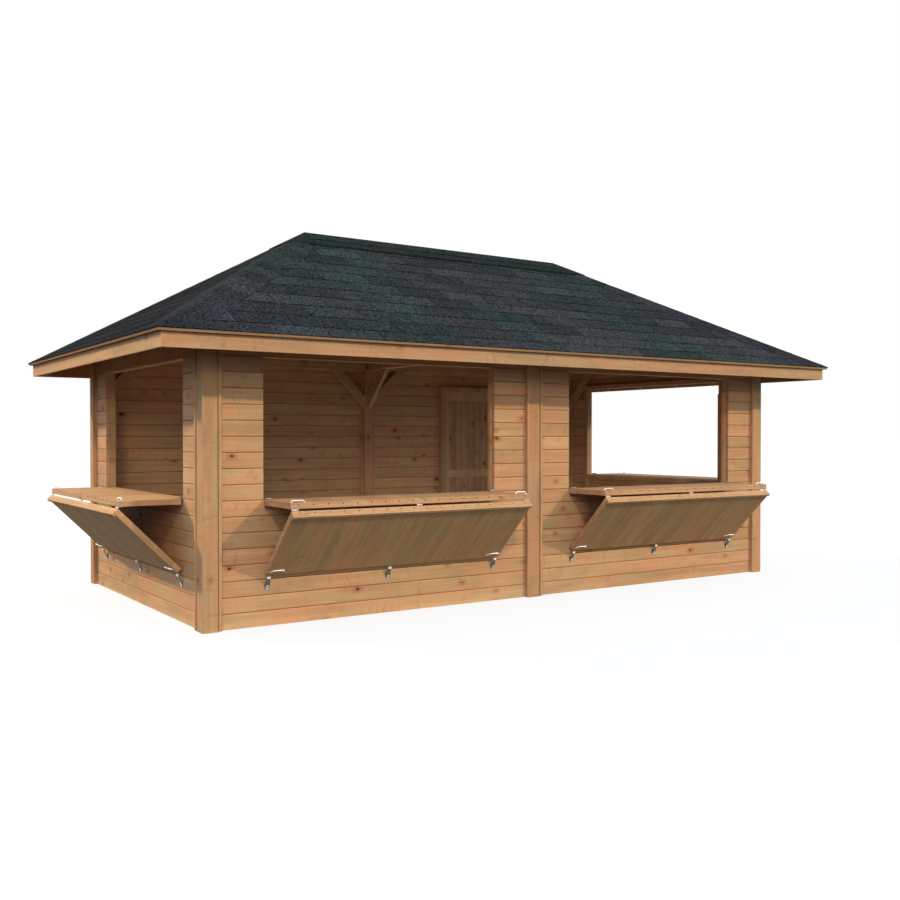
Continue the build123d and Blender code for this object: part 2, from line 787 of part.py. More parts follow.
def door_pintle(height):
    """Plate on the jamb with an upright pin and a collar under it."""
    with BuildPart() as pintle:
        with BuildSketch(BACK.offset(height - DOOR_HINGE_HEIGHT / 2)):
            with Locations((door_axis_w, door_axis_s)):
                RegularPolygon(DOOR_HINGE_RADIUS, ROUND_SIDES)
        extrude(amount=DOOR_HINGE_HEIGHT / 2 - DOOR_STRAP_HEIGHT / 2 - PIN_CLEARANCE)
        with BuildSketch(BACK.offset(height - DOOR_HINGE_HEIGHT / 2)):
            with Locations((door_axis_w, door_axis_s)):
                RegularPolygon(PIN_RADIUS, ROUND_SIDES)
        extrude(amount=DOOR_HINGE_HEIGHT)
        with BuildSketch(BACK.offset(height - DOOR_HINGE_HEIGHT / 2)):
            with Locations((door_axis_w - DOOR_JAMB / 2, -BOARD_RECESS + DOOR_STRAP / 2)):
                Rectangle(DOOR_JAMB, DOOR_STRAP)
            with Locations((door_axis_w, (door_axis_s - BOARD_RECESS) / 2)):
                Rectangle(DOOR_HINGE_RADIUS, DOOR_HINGE_OUT)
        extrude(amount=DOOR_HINGE_HEIGHT / 2 - DOOR_STRAP_HEIGHT / 2 - PIN_CLEARANCE)
    return pintle.part


def door_strap(height):
    """Long strap on the leaf's outer face with an eye round the pintle's pin."""
    foot = height - DOOR_STRAP_HEIGHT / 2
    bore = PIN_RADIUS + PIN_CLEARANCE
    with BuildPart() as strap:
        with BuildSketch(BACK.offset(foot)):
            with Locations((door_axis_w + DOOR_STRAP_LENGTH / 2, -BOARD_RECESS + DOOR_STRAP / 2)):
                Rectangle(DOOR_STRAP_LENGTH, DOOR_STRAP)
            with Locations((door_axis_w, door_axis_s)):
                RegularPolygon(DOOR_HINGE_RADIUS, ROUND_SIDES)
                RegularPolygon(bore, ROUND_SIDES, major_radius=False, mode=Mode.SUBTRACT)
        extrude(amount=DOOR_STRAP_HEIGHT)
    return strap.part


def door_lever():
    """Lever handle on both faces, joined by its spindle through the stile."""
    w = leaf_right - DOOR_STILE / 2
    lever_length = 110
    plate_width = 36
    plate_height = 150
    stand_off = 40
    bar = 9
    with BuildPart() as lever:
        for face, turn in ((-BOARD_RECESS, 1), (-BOARD_RECESS - DOOR_LEAF, -1)):
            outside = Plane(
                origin=BACK.from_local_coords((w, face, DOOR_HANDLE_HEIGHT)),
                x_dir=BACK.x_dir,
                z_dir=BACK.y_dir * turn,
            )
            with BuildSketch(outside):
                Rectangle(plate_width, plate_height)
            extrude(amount=DOOR_STRAP)
            with BuildSketch(outside):
                RegularPolygon(bar, ROUND_SIDES)
            extrude(amount=stand_off)
            with BuildSketch(outside.offset(stand_off - bar)):
                with Locations((-(lever_length - plate_width) / 2, 0)):
                    add(oblong(lever_length, 2 * bar, bar / 2))
            extrude(amount=bar)
    return lever.part


save("door_frame", doorway_frame())
save("door_leaf", door_leaf())
save("door_pintles", *[door_pintle(height) for height in DOOR_HINGE_HEIGHTS])
save("door_straps", *[door_strap(height) for height in DOOR_HINGE_HEIGHTS])
save("door_handle", door_lever())

# Roof frame: everything is cut to the space under the deck, inside the fascia
roof_space = hipped_solid(FASCIA_OUT - FASCIA, FASCIA_FOOT + SOFFIT_LIFT, UNDER_DECK)
ridge_height = roof_height(UNDER_DECK, -HALF_WIDTH)
carriers = [front_posts, back_posts, front_beam, back_beam, *end_beams]


def ridge_strip():
    """The upright strip along the ridge, which the ridge beam takes up."""
    with BuildPart() as strip:
        with BuildSketch(Plane.XY.offset(BEAM_TOP)):
            Rectangle(2 * (RIDGE_HALF + RIDGE_BEAM_PAST), RIDGE_BEAM_WIDTH)
        extrude(amount=ridge_height)
    return strip.part


ridge_zone = ridge_strip()


def ridge_beam():
    with BuildPart() as beam:
        with BuildSketch(Plane.XY.offset(ridge_height - RIDGE_BEAM_DEPTH)):
            Rectangle(2 * (RIDGE_HALF + RIDGE_BEAM_PAST), RIDGE_BEAM_WIDTH)
        extrude(amount=RIDGE_BEAM_DEPTH)
        add(roof_space, mode=Mode.INTERSECT)
    return beam.part


def rafters(side, spots):
    """Rafters of one slope, seated over the ring beam and cut to the hips and the ridge."""
    foot_s = FASCIA_OUT
    head_s = -HALF_WIDTH
    outline = [
        (foot_s, roof_height(UNDER_DECK, foot_s)),
        (head_s, roof_height(UNDER_DECK, head_s)),
        (head_s, roof_height(UNDER_DECK + RAFTER_DEPTH, head_s)),
        (foot_s, roof_height(UNDER_DECK + RAFTER_DEPTH, foot_s)),
    ]
    with BuildPart() as slope:
        add(lengths(side, outline, [(w - RAFTER_WIDTH / 2, w + RAFTER_WIDTH / 2) for w in spots]))
        for plane in hip_faces(side, inset=HIP_WIDTH / 2):
            split(bisect_by=plane, keep=Keep.BOTTOM)
        add(roof_space, mode=Mode.INTERSECT)
        for carrier in carriers:
            add(carrier, mode=Mode.SUBTRACT)
        add(ridge_zone, mode=Mode.SUBTRACT)
    return slope.part


def hip_rafter(turn_x, turn_y):
    """A hip rafter on the diagonal, bevelled to both slopes and notched over its post."""
    diagonal = Plane(
        origin=(turn_x * HALF_LENGTH, turn_y * HALF_WIDTH, 0),
        x_dir=(turn_x, turn_y, 0),
        z_dir=(turn_y, -turn_x, 0),
    )
    fall = RISE / 2 ** 0.5
    plumb_depth = HIP_DEPTH * (1 + fall ** 2) ** 0.5
    backing = HIP_WIDTH / 2 * fall
    corner = roof_height(UNDER_DECK, 0)
    tail = FASCIA_OUT * 2 ** 0.5
    head = -HALF_WIDTH * 2 ** 0.5
    foot = corner - backing - plumb_depth
    with BuildPart() as hip:
        with BuildSketch(diagonal):
            with BuildLine():
                Polyline(
                    (tail, corner - tail * fall),
                    (head, corner - head * fall),
                    (head, foot - head * fall),
                    (tail, foot - tail * fall),
                    close=True,
                )
            make_face()
        extrude(amount=HIP_WIDTH / 2, both=True)
        add(roof_space, mode=Mode.INTERSECT)
        for carrier in carriers:
            add(carrier, mode=Mode.SUBTRACT)
        add(ridge_zone, mode=Mode.SUBTRACT)
    return hip.part


long_count = int((HALF_LENGTH - POST) / RAFTER_SPACING)
end_count = int((HALF_WIDTH - POST) / RAFTER_SPACING)
long_spots = [turn * RAFTER_SPACING for turn in range(-long_count, long_count + 1)]
end_spots = [turn * RAFTER_SPACING for turn in range(-end_count, end_count + 1)]
save("rafters_front", rafters(FRONT, long_spots))
save("rafters_back", rafters(BACK, long_spots))
save("rafters_ends", *[rafters(side, end_spots) for side in END_SIDES])
save("hip_rafters", *[hip_rafter(turn_x, turn_y) for turn_x in (-1, 1) for turn_y in (-1, 1)])
save("ridge_beam", ridge_beam())

# Fascia boards, mitred at the corners and bevelled under the deck
fascia_outline = [
    (FASCIA_OUT - FASCIA, FASCIA_FOOT),
    (FASCIA_OUT, FASCIA_FOOT),
    (FASCIA_OUT, roof_height(UNDER_DECK, FASCIA_OUT)),
    (FASCIA_OUT - FASCIA, roof_height(UNDER_DECK, FASCIA_OUT - FASCIA)),
]
save("fascia_long", *[mitred(side, fascia_outline) for side in LONG_SIDES])
save("fascia_ends", *[mitred(side, fascia_outline) for side in END_SIDES])


# Deck boards and shingle cover, one slab to a slope
def slope_outline(top_depth, bottom_depth, head_s):
    return [
        eave_point(top_depth),
        (head_s, roof_height(top_depth, head_s)),
        (head_s, roof_height(bottom_depth, head_s)),
        eave_point(bottom_depth),
    ]


for layer, top_depth, bottom_depth in (("deck", COVER, UNDER_DECK), ("cover", 0, COVER)):
    long_outline = slope_outline(top_depth, bottom_depth, -HALF_WIDTH + RIDGE_GAP)
    end_outline = slope_outline(top_depth, bottom_depth, -HALF_WIDTH)
    save(f"{layer}_long_slopes", *[mitred(side, long_outline) for side in LONG_SIDES])
    save(f"{layer}_hip_ends", *[mitred(side, end_outline) for side in END_SIDES])


# Ridge cap: a low hipped cover over the tops of all four slopes
def ridge_cap():
    s_limit = CAP_REACH - HALF_WIDTH
    foot = roof_height(0, s_limit) - CAP
    with BuildPart() as cap:
        add(hipped_solid(s_limit, foot, -CAP))
        add(hipped_solid(s_limit, foot, 0), mode=Mode.SUBTRACT)
    return cap.part


save("ridge_cap", ridge_cap())
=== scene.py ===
import bpy
import bmesh
import json
from math import cos, pi, radians, sin, tan
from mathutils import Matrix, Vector

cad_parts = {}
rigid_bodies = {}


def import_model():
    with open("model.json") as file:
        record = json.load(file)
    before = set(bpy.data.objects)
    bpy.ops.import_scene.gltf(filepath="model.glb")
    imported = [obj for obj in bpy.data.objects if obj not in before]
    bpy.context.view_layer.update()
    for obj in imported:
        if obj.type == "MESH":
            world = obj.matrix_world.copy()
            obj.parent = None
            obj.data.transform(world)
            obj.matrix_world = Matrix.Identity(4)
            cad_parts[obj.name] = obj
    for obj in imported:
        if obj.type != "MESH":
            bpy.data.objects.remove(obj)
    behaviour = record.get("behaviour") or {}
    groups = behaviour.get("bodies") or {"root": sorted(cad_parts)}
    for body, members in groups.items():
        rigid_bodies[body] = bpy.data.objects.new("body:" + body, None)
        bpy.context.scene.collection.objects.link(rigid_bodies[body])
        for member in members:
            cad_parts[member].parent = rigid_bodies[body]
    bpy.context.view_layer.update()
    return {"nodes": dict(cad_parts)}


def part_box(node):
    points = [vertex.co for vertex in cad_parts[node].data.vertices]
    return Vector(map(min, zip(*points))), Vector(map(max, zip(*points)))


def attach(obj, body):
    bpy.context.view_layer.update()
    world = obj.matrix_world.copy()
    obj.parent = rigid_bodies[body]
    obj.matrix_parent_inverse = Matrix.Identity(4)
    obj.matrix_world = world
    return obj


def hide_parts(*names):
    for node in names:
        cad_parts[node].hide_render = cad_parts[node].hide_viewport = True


bpy.ops.object.select_all(action="SELECT")
bpy.ops.object.delete()
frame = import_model()
node = frame["nodes"]


# Posts and ring beam. Six planed softwood posts, 120 mm square, stand on the ground and
# carry a beam all round and one across the middle, all planed and stained a warm brown.
front_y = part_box("posts_front")[0].y
back_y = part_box("posts_back")[1].y
left_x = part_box("posts_front")[0].x
right_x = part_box("posts_front")[1].x
middle_y = (front_y + back_y) / 2
X, Y, Z = Vector((1, 0, 0)), Vector((0, 1, 0)), Vector((0, 0, 1))
wood_honey = (0.568, 0.345, 0.174)
wood_rosy = (0.612, 0.308, 0.160)
wood_grey = (0.390, 0.268, 0.146)
wood_dark = (0.340, 0.155, 0.064)
knot_heart = (0.085, 0.036, 0.018)
knot_halo = (0.380, 0.125, 0.045)
joint_glow = (0.430, 0.165, 0.060)
joint_dark = (0.165, 0.052, 0.018)


def link(tree, start, end):
    tree.links.new(start, end)


def math_node(tree, operation, first, second=None, third=None, clamp=False):
    made = tree.nodes.new("ShaderNodeMath")
    made.operation = operation
    made.use_clamp = clamp
    for socket, value in zip(made.inputs, (first, second, third)):
        if value is None:
            continue
        if isinstance(value, (int, float)):
            socket.default_value = value
        else:
            link(tree, value, socket)
    return made.outputs[0]


def product(tree, first, second):
    return math_node(tree, "MULTIPLY", first, second)


def vector_node(tree, operation, first, second=None):
    made = tree.nodes.new("ShaderNodeVectorMath")
    made.operation = operation
    for socket, value in zip(made.inputs, (first, second)):
        if value is None:
            continue
        if isinstance(value, (tuple, Vector)):
            socket.default_value = tuple(value)
        else:
            link(tree, value, socket)
    return made.outputs["Value"] if operation == "DOT_PRODUCT" else made.outputs[0]


def scaled(tree, vector, factor):
    made = tree.nodes.new("ShaderNodeVectorMath")
    made.operation = "SCALE"
    link(tree, vector, made.inputs[0])
    link(tree, factor, made.inputs["Scale"])
    return made.outputs[0]


def noise(tree, vector, scale, detail=3.0, roughness=0.5, distortion=0.0):
    made = tree.nodes.new("ShaderNodeTexNoise")
    made.inputs["Scale"].default_value = scale
    made.inputs["Detail"].default_value = detail
    made.inputs["Roughness"].default_value = roughness
    made.inputs["Distortion"].default_value = distortion
    link(tree, vector, made.inputs["Vector"])
    return made.outputs["Fac"]


def mix_colours(tree, share, first, second):
    made = tree.nodes.new("ShaderNodeMix")
    made.data_type = "RGBA"
    sockets = (made.inputs[0], made.inputs[6], made.inputs[7])
    for socket, value in zip(sockets, (share, first, second)):
        if isinstance(value, (int, float)):
            socket.default_value = value
        elif isinstance(value, tuple):
            socket.default_value = (*value, 1)
        else:
            link(tree, value, socket)
    return made.outputs[2]


def ramp(tree, value, low, high, from_value=0.0, to_value=1.0):
    made = tree.nodes.new("ShaderNodeMapRange")
    made.inputs["From Min"].default_value = low
    made.inputs["From Max"].default_value = high
    made.inputs["To Min"].default_value = from_value
    made.inputs["To Max"].default_value = to_value
    link(tree, value, made.inputs["Value"])
    return made.outputs["Result"]


def band(tree, value, start, full, fading, end):
    """1 from full to fading, and 0 before start and after end."""
    return product(tree, ramp(tree, value, start, full), ramp(tree, value, end, fading))


def stretched_noise(tree, spot, scales, detail=2.0, roughness=0.5, distortion=0.0, away=0.0):
    moved = vector_node(tree, "ADD", vector_node(tree, "MULTIPLY", spot, scales), (away, away, away))
    return noise(tree, moved, 1.0, detail, roughness, distortion)


def new_material(name):
    """A material with its node tree, its shader and the spot on the object that it shades."""
    material = bpy.data.materials.new(name)
    material.use_nodes = True
    tree = material.node_tree
    place = tree.nodes.new("ShaderNodeTexCoord").outputs["Object"]
    return material, tree, tree.nodes["Principled BSDF"], place


def roughen(tree, shader, height, strength, depth):
    """Tilt the shader's normal by a height."""
    bump = tree.nodes.new("ShaderNodeBump")
    bump.inputs["Strength"].default_value = strength
    bump.inputs["Distance"].default_value = depth
    link(tree, height, bump.inputs["Height"])
    link(tree, bump.outputs[0], shader.inputs["Normal"])


def own_tone(tree):
    """The chance value that each laid piece carries, from 0 to 1."""
    own = tree.nodes.new("ShaderNodeAttribute")
    own.attribute_name = "board_tone"
    return own.outputs["Fac"]


def timber(name, run, across, joints=0.0, counted=False, knots=1.0, bright=1.0, tint=(1.0, 1.0, 1.0)):
    """Stained softwood whose grain follows run. Joints darken at each multiple of joints, and a painted
    highlight lightens a band on their lower side.
    """
    material, tree, shader, place = new_material(name)
    run = Vector(run).normalized()
    across = Vector(across).normalized()
    along = vector_node(tree, "DOT_PRODUCT", place, run)
    over = vector_node(tree, "DOT_PRODUCT", place, across)
    into = vector_node(tree, "DOT_PRODUCT", place, run.cross(across))
    if counted:
        chance = tree.nodes.new("ShaderNodeTexWhiteNoise")
        chance.noise_dimensions = "1D"
        board = math_node(tree, "FLOOR", math_node(tree, "DIVIDE", over, joints))
        link(tree, board, chance.inputs["W"])
        tone = chance.outputs["Value"]
    else:
        tone = own_tone(tree)

    # Each board reads another part of the same noise, so the grain breaks at every joint.
    shift = product(tree, tone, 9.7)
    spot = tree.nodes.new("ShaderNodeCombineXYZ")
    link(tree, math_node(tree, "ADD", along, shift), spot.inputs[0])
    link(tree, math_node(tree, "MULTIPLY_ADD", shift, 0.37, over), spot.inputs[1])
    link(tree, math_node(tree, "MULTIPLY_ADD", shift, 0.61, into), spot.inputs[2])
    spot = spot.outputs[0]

    # Patches of stain, then darker grain: streaks along it, flames across it, fine fibres.
    warmth = stretched_noise(tree, spot, (1.9, 6.0, 6.0), 2.0, 0.5, 0.4)
    colour = mix_colours(tree, ramp(tree, warmth, 0.42, 0.58), wood_honey, wood_rosy)
    bleached = stretched_noise(tree, spot, (2.3, 8.0, 8.0), 2.0, 0.5, 0.5, 5.3)
    colour = mix_colours(tree, ramp(tree, bleached, 0.42, 0.70, 0.0, 0.66), colour, wood_grey)
    streaks = stretched_noise(tree, spot, (1.1, 28.0, 28.0), 3.0, 0.6, 0.4)
    flames = stretched_noise(tree, spot, (8.5, 3.6, 3.6), 2.0, 0.5, 2.4, 3.7)
    streaked = ramp(tree, streaks, 0.40, 0.78, 0.0, 0.38)
    figure = math_node(tree, "ADD", streaked, ramp(tree, flames, 0.60, 0.78, 0.0, 0.42))
    fibres = stretched_noise(tree, spot, (7.0, 330.0, 330.0), 2.0, 0.6)
    figure = math_node(tree, "MULTIPLY_ADD", fibres, 0.14, figure, clamp=True)
    colour = mix_colours(tree, figure, colour, wood_dark)

    # Knots: some cells of a stretched Voronoi pattern hold one, with a reddish halo.
    knot = tree.nodes.new("ShaderNodeTexVoronoi")
    knot.voronoi_dimensions = "2D"
    knot.inputs["Scale"].default_value = 1.0
    link(tree, vector_node(tree, "MULTIPLY", spot, (5.0, 7.5, 1.0)), knot.inputs["Vector"])
    which = tree.nodes.new("ShaderNodeSeparateColor")
    link(tree, knot.outputs["Color"], which.inputs[0])
    size = ramp(tree, math_node(tree, "POWER", which.outputs[1], 2.5), 0.0, 1.0, 0.022, 0.125)
    kept = math_node(tree, "GREATER_THAN", which.outputs[0], 1.0 - 0.15 * knots)
    wander = stretched_noise(tree, spot, (6.0, 10.0, 10.0), 2.0, 0.5, 0.0, 8.1)
    centred = math_node(tree, "SUBTRACT", knot.outputs["Distance"], 0.08)
    near = math_node(tree, "SUBTRACT", size, math_node(tree, "MULTIPLY_ADD", wander, 0.16, centred))
    halo = product(tree, ramp(tree, near, -0.24, 0.0, 0.0, 0.70), kept)
    colour = mix_colours(tree, halo, colour, knot_halo)
    heart = product(tree, ramp(tree, near, -0.005, 0.025, 0.0, 0.88), kept)
    colour = mix_colours(tree, heart, colour, knot_heart)

    lean = stretched_noise(tree, spot, (0.15, 1.9, 1.9), 1.0, 0.5, 0.0, 2.9)
    strength = ramp(tree, tone, 0.0, 1.0, 0.95 * bright, 1.12 * bright)
    strength = product(tree, strength, ramp(tree, lean, 0.3, 0.7, 0.95, 1.05))
    height = math_node(tree, "MULTIPLY_ADD", fibres, 0.5, streaks)
    if joints:
        step = math_node(tree, "ROUND", math_node(tree, "DIVIDE", over, joints))
        beside = math_node(tree, "MULTIPLY_ADD", step, -joints, over)
        groove = band(tree, beside, -0.0024, -0.0010, 0.0034, 0.0056)
        glow = band(tree, beside, 0.0, 0.003, 0.006, 0.016)
        # pale lightens a narrow band on the lower side of each joint: a painted highlight of the lower
        # board's bevel in the light.
        pale = band(tree, beside, -0.012, -0.006, -0.0030, -0.0016)
        colour = mix_colours(tree, product(tree, glow, 0.40), colour, joint_glow)
        colour = mix_colours(tree, product(tree, groove, 0.54), colour, joint_dark)
        strength = product(tree, strength, ramp(tree, pale, 0.0, 1.0, 1.0, 1.12))
        height = math_node(tree, "MULTIPLY_ADD", groove, -1.5, height)
    shade = scaled(tree, vector_node(tree, "MULTIPLY", colour, tint), strength)
    link(tree, shade, shader.inputs["Base Color"])
    link(tree, ramp(tree, fibres, 0.3, 0.7, 0.58, 0.78), shader.inputs["Roughness"])
    shader.inputs["Specular IOR Level"].default_value = 0.08
    roughen(tree, shader, height, 0.30, 0.0012)
    return material


def finish_with(name, material, eased=0.0):
    """Give a CAD node its material, and ease its arrises where it is planed timber."""
    piece = node[name]
    piece.data.materials.clear()
    piece.data.materials.append(material)
    if eased:
        welded = piece.modifiers.new("one_skin", "WELD")
        welded.merge_threshold = 0.00002
        arris = piece.modifiers.new("eased_arris", "BEVEL")
        arris.width = eased
        arris.segments = 2
        arris.limit_method = "ANGLE"
        arris.angle_limit = radians(40)
        arris.harden_normals = False


upright_timber = timber("upright_timber", Z, X + 0.6 * Y)
long_timber = timber("long_timber", X, Z + 0.4 * Y)
cross_timber = timber("cross_timber", Y, Z + 0.4 * X)
for name in ("posts_front", "posts_back"):
    finish_with(name, upright_timber, eased=0.004)
for name in ("beam_front", "beam_back"):
    finish_with(name, long_timber, eased=0.003)
finish_with("beams_ends", cross_timber, eased=0.003)
finish_with("beam_middle", cross_timber, eased=0.003)


# Knee braces. Short slanted pieces that stiffen the posts, sawn from planks with
# plumb and level ends, and screwed between the post and the ring beam.
finish_with("braces", timber("brace_timber", Z + 0.5 * X + 0.5 * Y, X - Y), eased=0.003)


# Wall boards. Level tongued and grooved boards, 28 mm thick, each covering 117 mm, with a
# small bevel along every edge that leaves a V-shaped joint on both faces of the wall.
board_cover = 0.117
board_thickness = 0.028
board_recess = 0.025
board_bevel = 0.0042


class Wall:
    """A side of the frame: w runs along it, s points outwards from the posts' faces."""

    def __init__(self, x, y, out):
        self.foot = Vector((x, y, 0))
        self.out = Vector((*out, 0))
        self.along = Vector((out[1], -out[0], 0))

    def at(self, w, s, z):
        return self.foot + self.along * w + self.out * s + Z * z


post = 0.120
bay = (right_x - left_x - post) / 2
half_clear = (bay - post) / 2
end_half_clear = (back_y - front_y) / 2 - post
opening_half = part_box("counter_front_left")[1].x + bay / 2
walls = {
    "front_left": Wall(-bay / 2, front_y, (0, -1)),
    "front_right": Wall(bay / 2, front_y, (0, -1)),
    "left_end": Wall(left_x, middle_y, (-1, 0)),
    "right_end": Wall(right_x, middle_y, (1, 0)),
    "back": Wall(0, back_y, (0, 1)),
    "front": Wall(0, front_y, (0, -1)),
}


def add_input(tree, name, kind):
    return tree.interface.new_socket(name=name, in_out="INPUT", socket_type="NodeSocket" + kind).identifier


def rows_tree():
    """Lays copies of a piece in rows and courses, each with a tone of its own."""
    tree = bpy.data.node_groups.new("laid_in_rows", "GeometryNodeTree")
    kinds = {
        "Piece": "Geometry", "Start": "Vector", "Across": "Vector", "Up": "Vector", "Columns": "Int",
        "Rows": "Int", "Stagger": "Float", "Seed": "Int", "Finish": "Material",
    }
    keys = {name: add_input(tree, name, kind) for name, kind in kinds.items()}
    tree.interface.new_socket(name="Laid", in_out="OUTPUT", socket_type="NodeSocketGeometry")
    given = tree.nodes.new("NodeGroupInput").outputs
    result = tree.nodes.new("NodeGroupOutput")
    index = tree.nodes.new("GeometryNodeInputIndex").outputs[0]
    column = math_node(tree, "FLOORED_MODULO", index, given["Columns"])
    turns = math_node(tree, "DIVIDE", math_node(tree, "ADD", index, 0.001), given["Columns"])
    row = math_node(tree, "FLOOR", turns)
    odd = math_node(tree, "FLOORED_MODULO", row, 2.0)
    column = math_node(tree, "MULTIPLY_ADD", odd, given["Stagger"], column)
    aside = vector_node(tree, "ADD", scaled(tree, given["Across"], column), scaled(tree, given["Up"], row))
    spot = vector_node(tree, "ADD", given["Start"], aside)
    line = tree.nodes.new("GeometryNodeMeshLine")
    line.mode = "OFFSET"
    link(tree, product(tree, given["Columns"], given["Rows"]), line.inputs["Count"])
    placed = tree.nodes.new("GeometryNodeSetPosition")
    link(tree, line.outputs[0], placed.inputs["Geometry"])
    link(tree, spot, placed.inputs["Position"])
    copies = tree.nodes.new("GeometryNodeInstanceOnPoints")
    link(tree, placed.outputs[0], copies.inputs["Points"])
    link(tree, given["Piece"], copies.inputs["Instance"])
    chance = tree.nodes.new("FunctionNodeRandomValue")
    chance.data_type = "FLOAT"
    link(tree, math_node(tree, "ADD", given["Seed"], 71.0), chance.inputs["Seed"])
    toned = tree.nodes.new("GeometryNodeStoreNamedAttribute")
    toned.data_type = "FLOAT"
    toned.domain = "INSTANCE"
    toned.inputs["Name"].default_value = "board_tone"
    link(tree, copies.outputs[0], toned.inputs["Geometry"])
    link(tree, chance.outputs[1], toned.inputs["Value"])
    real = tree.nodes.new("GeometryNodeRealizeInstances")
    link(tree, toned.outputs[0], real.inputs[0])
    surfaced = tree.nodes.new("GeometryNodeSetMaterial")
    link(tree, real.outputs[0], surfaced.inputs["Geometry"])
    link(tree, given["Finish"], surfaced.inputs["Material"])
    link(tree, surfaced.outputs[0], result.inputs[0])
    return tree, keys


laid_in_rows, row_key = rows_tree()


def mesh_of(bm, name, turn_out=True):
    """The mesh of a bmesh, with its faces turned outwards."""
    if turn_out:
        bmesh.ops.recalc_face_normals(bm, faces=bm.faces[:])
    mesh = bpy.data.meshes.new(name)
    bm.to_mesh(mesh)
    bm.free()
    return mesh


def between(bm, low, high):
    """Close two outlines of equal length to a solid."""
    for i in range(len(low)):
        j = (i + 1) % len(low)
        bm.faces.new((low[i], low[j], high[j], high[i]))
    bm.faces.new(low[::-1])
    bm.faces.new(high)


def plank(length, width, thickness, bevel):
    """A board from the origin along three vectors, with bevelled long edges."""
    bm = bmesh.new()
    w, t = width.normalized() * bevel, thickness.normalized() * bevel
    profile = [
        w, width - w, width + t, width + thickness - t,
        width + thickness - w, thickness + w, thickness - t, t,
    ]
    between(bm, [bm.verts.new(p) for p in profile], [bm.verts.new(length + p) for p in profile])
    return mesh_of(bm, "plank")


def kept_mesh(piece):
    """Keep what a piece's modifiers make of it as its own mesh."""
    made = bpy.data.meshes.new_from_object(piece.evaluated_get(bpy.context.evaluated_depsgraph_get()))
    piece.modifiers.clear()
    piece.data = made
    return piece


def new_piece(name, mesh, group, values):
    """An object whose mesh goes through a node group with these values."""
    piece = bpy.data.objects.new(name, mesh)
    bpy.context.scene.collection.objects.link(piece)
    modifier = piece.modifiers.new(name, "NODES")
    modifier.node_group = group
    for key, value in values:
        modifier[key] = value
    return kept_mesh(piece)


def lay(
    name, mesh, finish, start=(0, 0, 0), across=(0, 0, 0), up=(0, 0, 0),
    columns=1, rows=1, stagger=0.0, seed=1,
):
    """Repeat a mesh by the tree of rows and keep the result as a plain mesh."""
    values = {"Columns": columns, "Rows": rows, "Stagger": stagger, "Seed": seed, "Finish": finish}
    for key, value in (("Start", start), ("Across", across), ("Up", up)):
        values[key] = tuple(map(float, value))
    return new_piece(name, mesh, laid_in_rows, [(row_key[key], value) for key, value in values.items()])


def joined(name, pieces):
    """Several laid pieces made one."""
    first = pieces[0]
    if len(pieces) > 1:
        chosen = {"selected_objects": pieces, "selected_editable_objects": pieces}
        with bpy.context.temp_override(active_object=first, object=first, **chosen):
            bpy.ops.object.join()
    first.name = name
    first.data.name = name
    return first


def cut_off(piece, *planes):
    """Cut a piece off at planes, each a point and the direction that falls away, and close the cuts."""
    bm = bmesh.new()
    bm.from_mesh(piece.data)
    for point, away in planes:
        everything = bm.verts[:] + bm.edges[:] + bm.faces[:]
        cut = {"plane_co": point, "plane_no": away, "clear_outer": True}
        bmesh.ops.bisect_plane(bm, geom=everything, dist=1e-6, **cut)
        open_edges = [e for e in bm.edges if len(e.link_faces) == 1]
        if open_edges:
            bmesh.ops.holes_fill(bm, edges=open_edges, sides=0)
    bm.to_mesh(piece.data)
    bm.free()
    return piece


def boarding(wall, spans, foot, top, finish, seed):
    """Boards along a wall between two heights, in step with the board joints from the ground."""
    first = int(foot / board_cover + 1e-6)
    last = int(top / board_cover - 1e-6)
    made = []
    rows = {"up": Z * board_cover, "rows": last - first + 1}
    for number, (w0, w1) in enumerate(spans):
        mesh = plank(wall.along * (w1 - w0), Z * board_cover, -wall.out * board_thickness, board_bevel)
        start = wall.at(w0, -board_recess, first * board_cover)
        made.append(lay("boards", mesh, finish, start=start, seed=seed * 7 + number, **rows))
    return [cut_off(piece, (Vector((0, 0, foot)), -Z), (Vector((0, 0, top)), Z)) for piece in made]


boards_long = timber("boards_long", X, Z, joints=board_cover)
boards_cross = timber("boards_cross", Y, Z, joints=board_cover)
wall_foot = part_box("sill_walls_front")[0].z
sill_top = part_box("sill_walls_front")[1].z
opening_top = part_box("side_boards_front")[1].z
beam_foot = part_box("lintels_front")[1].z
full = [(-half_clear, half_clear)]
sides = [(-half_clear, -opening_half), (opening_half, half_clear)]
end_full = [(-end_half_clear, end_half_clear)]
end_sides = [(-end_half_clear, -opening_half), (opening_half, end_half_clear)]
for place, names, finish, whole, flanks in (
    ("front", ("front_left", "front_right"), boards_long, full, sides),
    ("ends", ("left_end", "right_end"), boards_cross, end_full, end_sides),
):
    for group, spans, foot, top in (
        ("sill_walls_", whole, wall_foot, sill_top),
        ("side_boards_", flanks, sill_top, opening_top),
        ("lintels_", whole, opening_top, beam_foot),
    ):
        made = []
        for number, name in enumerate(names):
            seed = len(group) * 3 + number * 5 + len(place)
            made += boarding(walls[name], spans, foot, top, finish, seed)
        piece = joined("boards_" + group + place, made)
        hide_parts(group + place)
        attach(piece, "stall")

door_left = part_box("back_wall_over_door")[0].x
door_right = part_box("back_wall_over_door")[1].x
door_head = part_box("back_wall_over_door")[0].z
rear_end = bay - post / 2
for name, spans, foot in (
    ("back_wall_plain", [(-rear_end, -post / 2)], wall_foot),
    ("back_wall_beside_door", [(post / 2, door_left), (door_right, rear_end)], wall_foot),
    ("back_wall_over_door", [(door_left, door_right)], door_head),
):
    made = boarding(walls["back"], spans, foot, beam_foot, boards_long, len(name))
    piece = joined("boards_" + name, made)
    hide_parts(name)
    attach(piece, "stall")


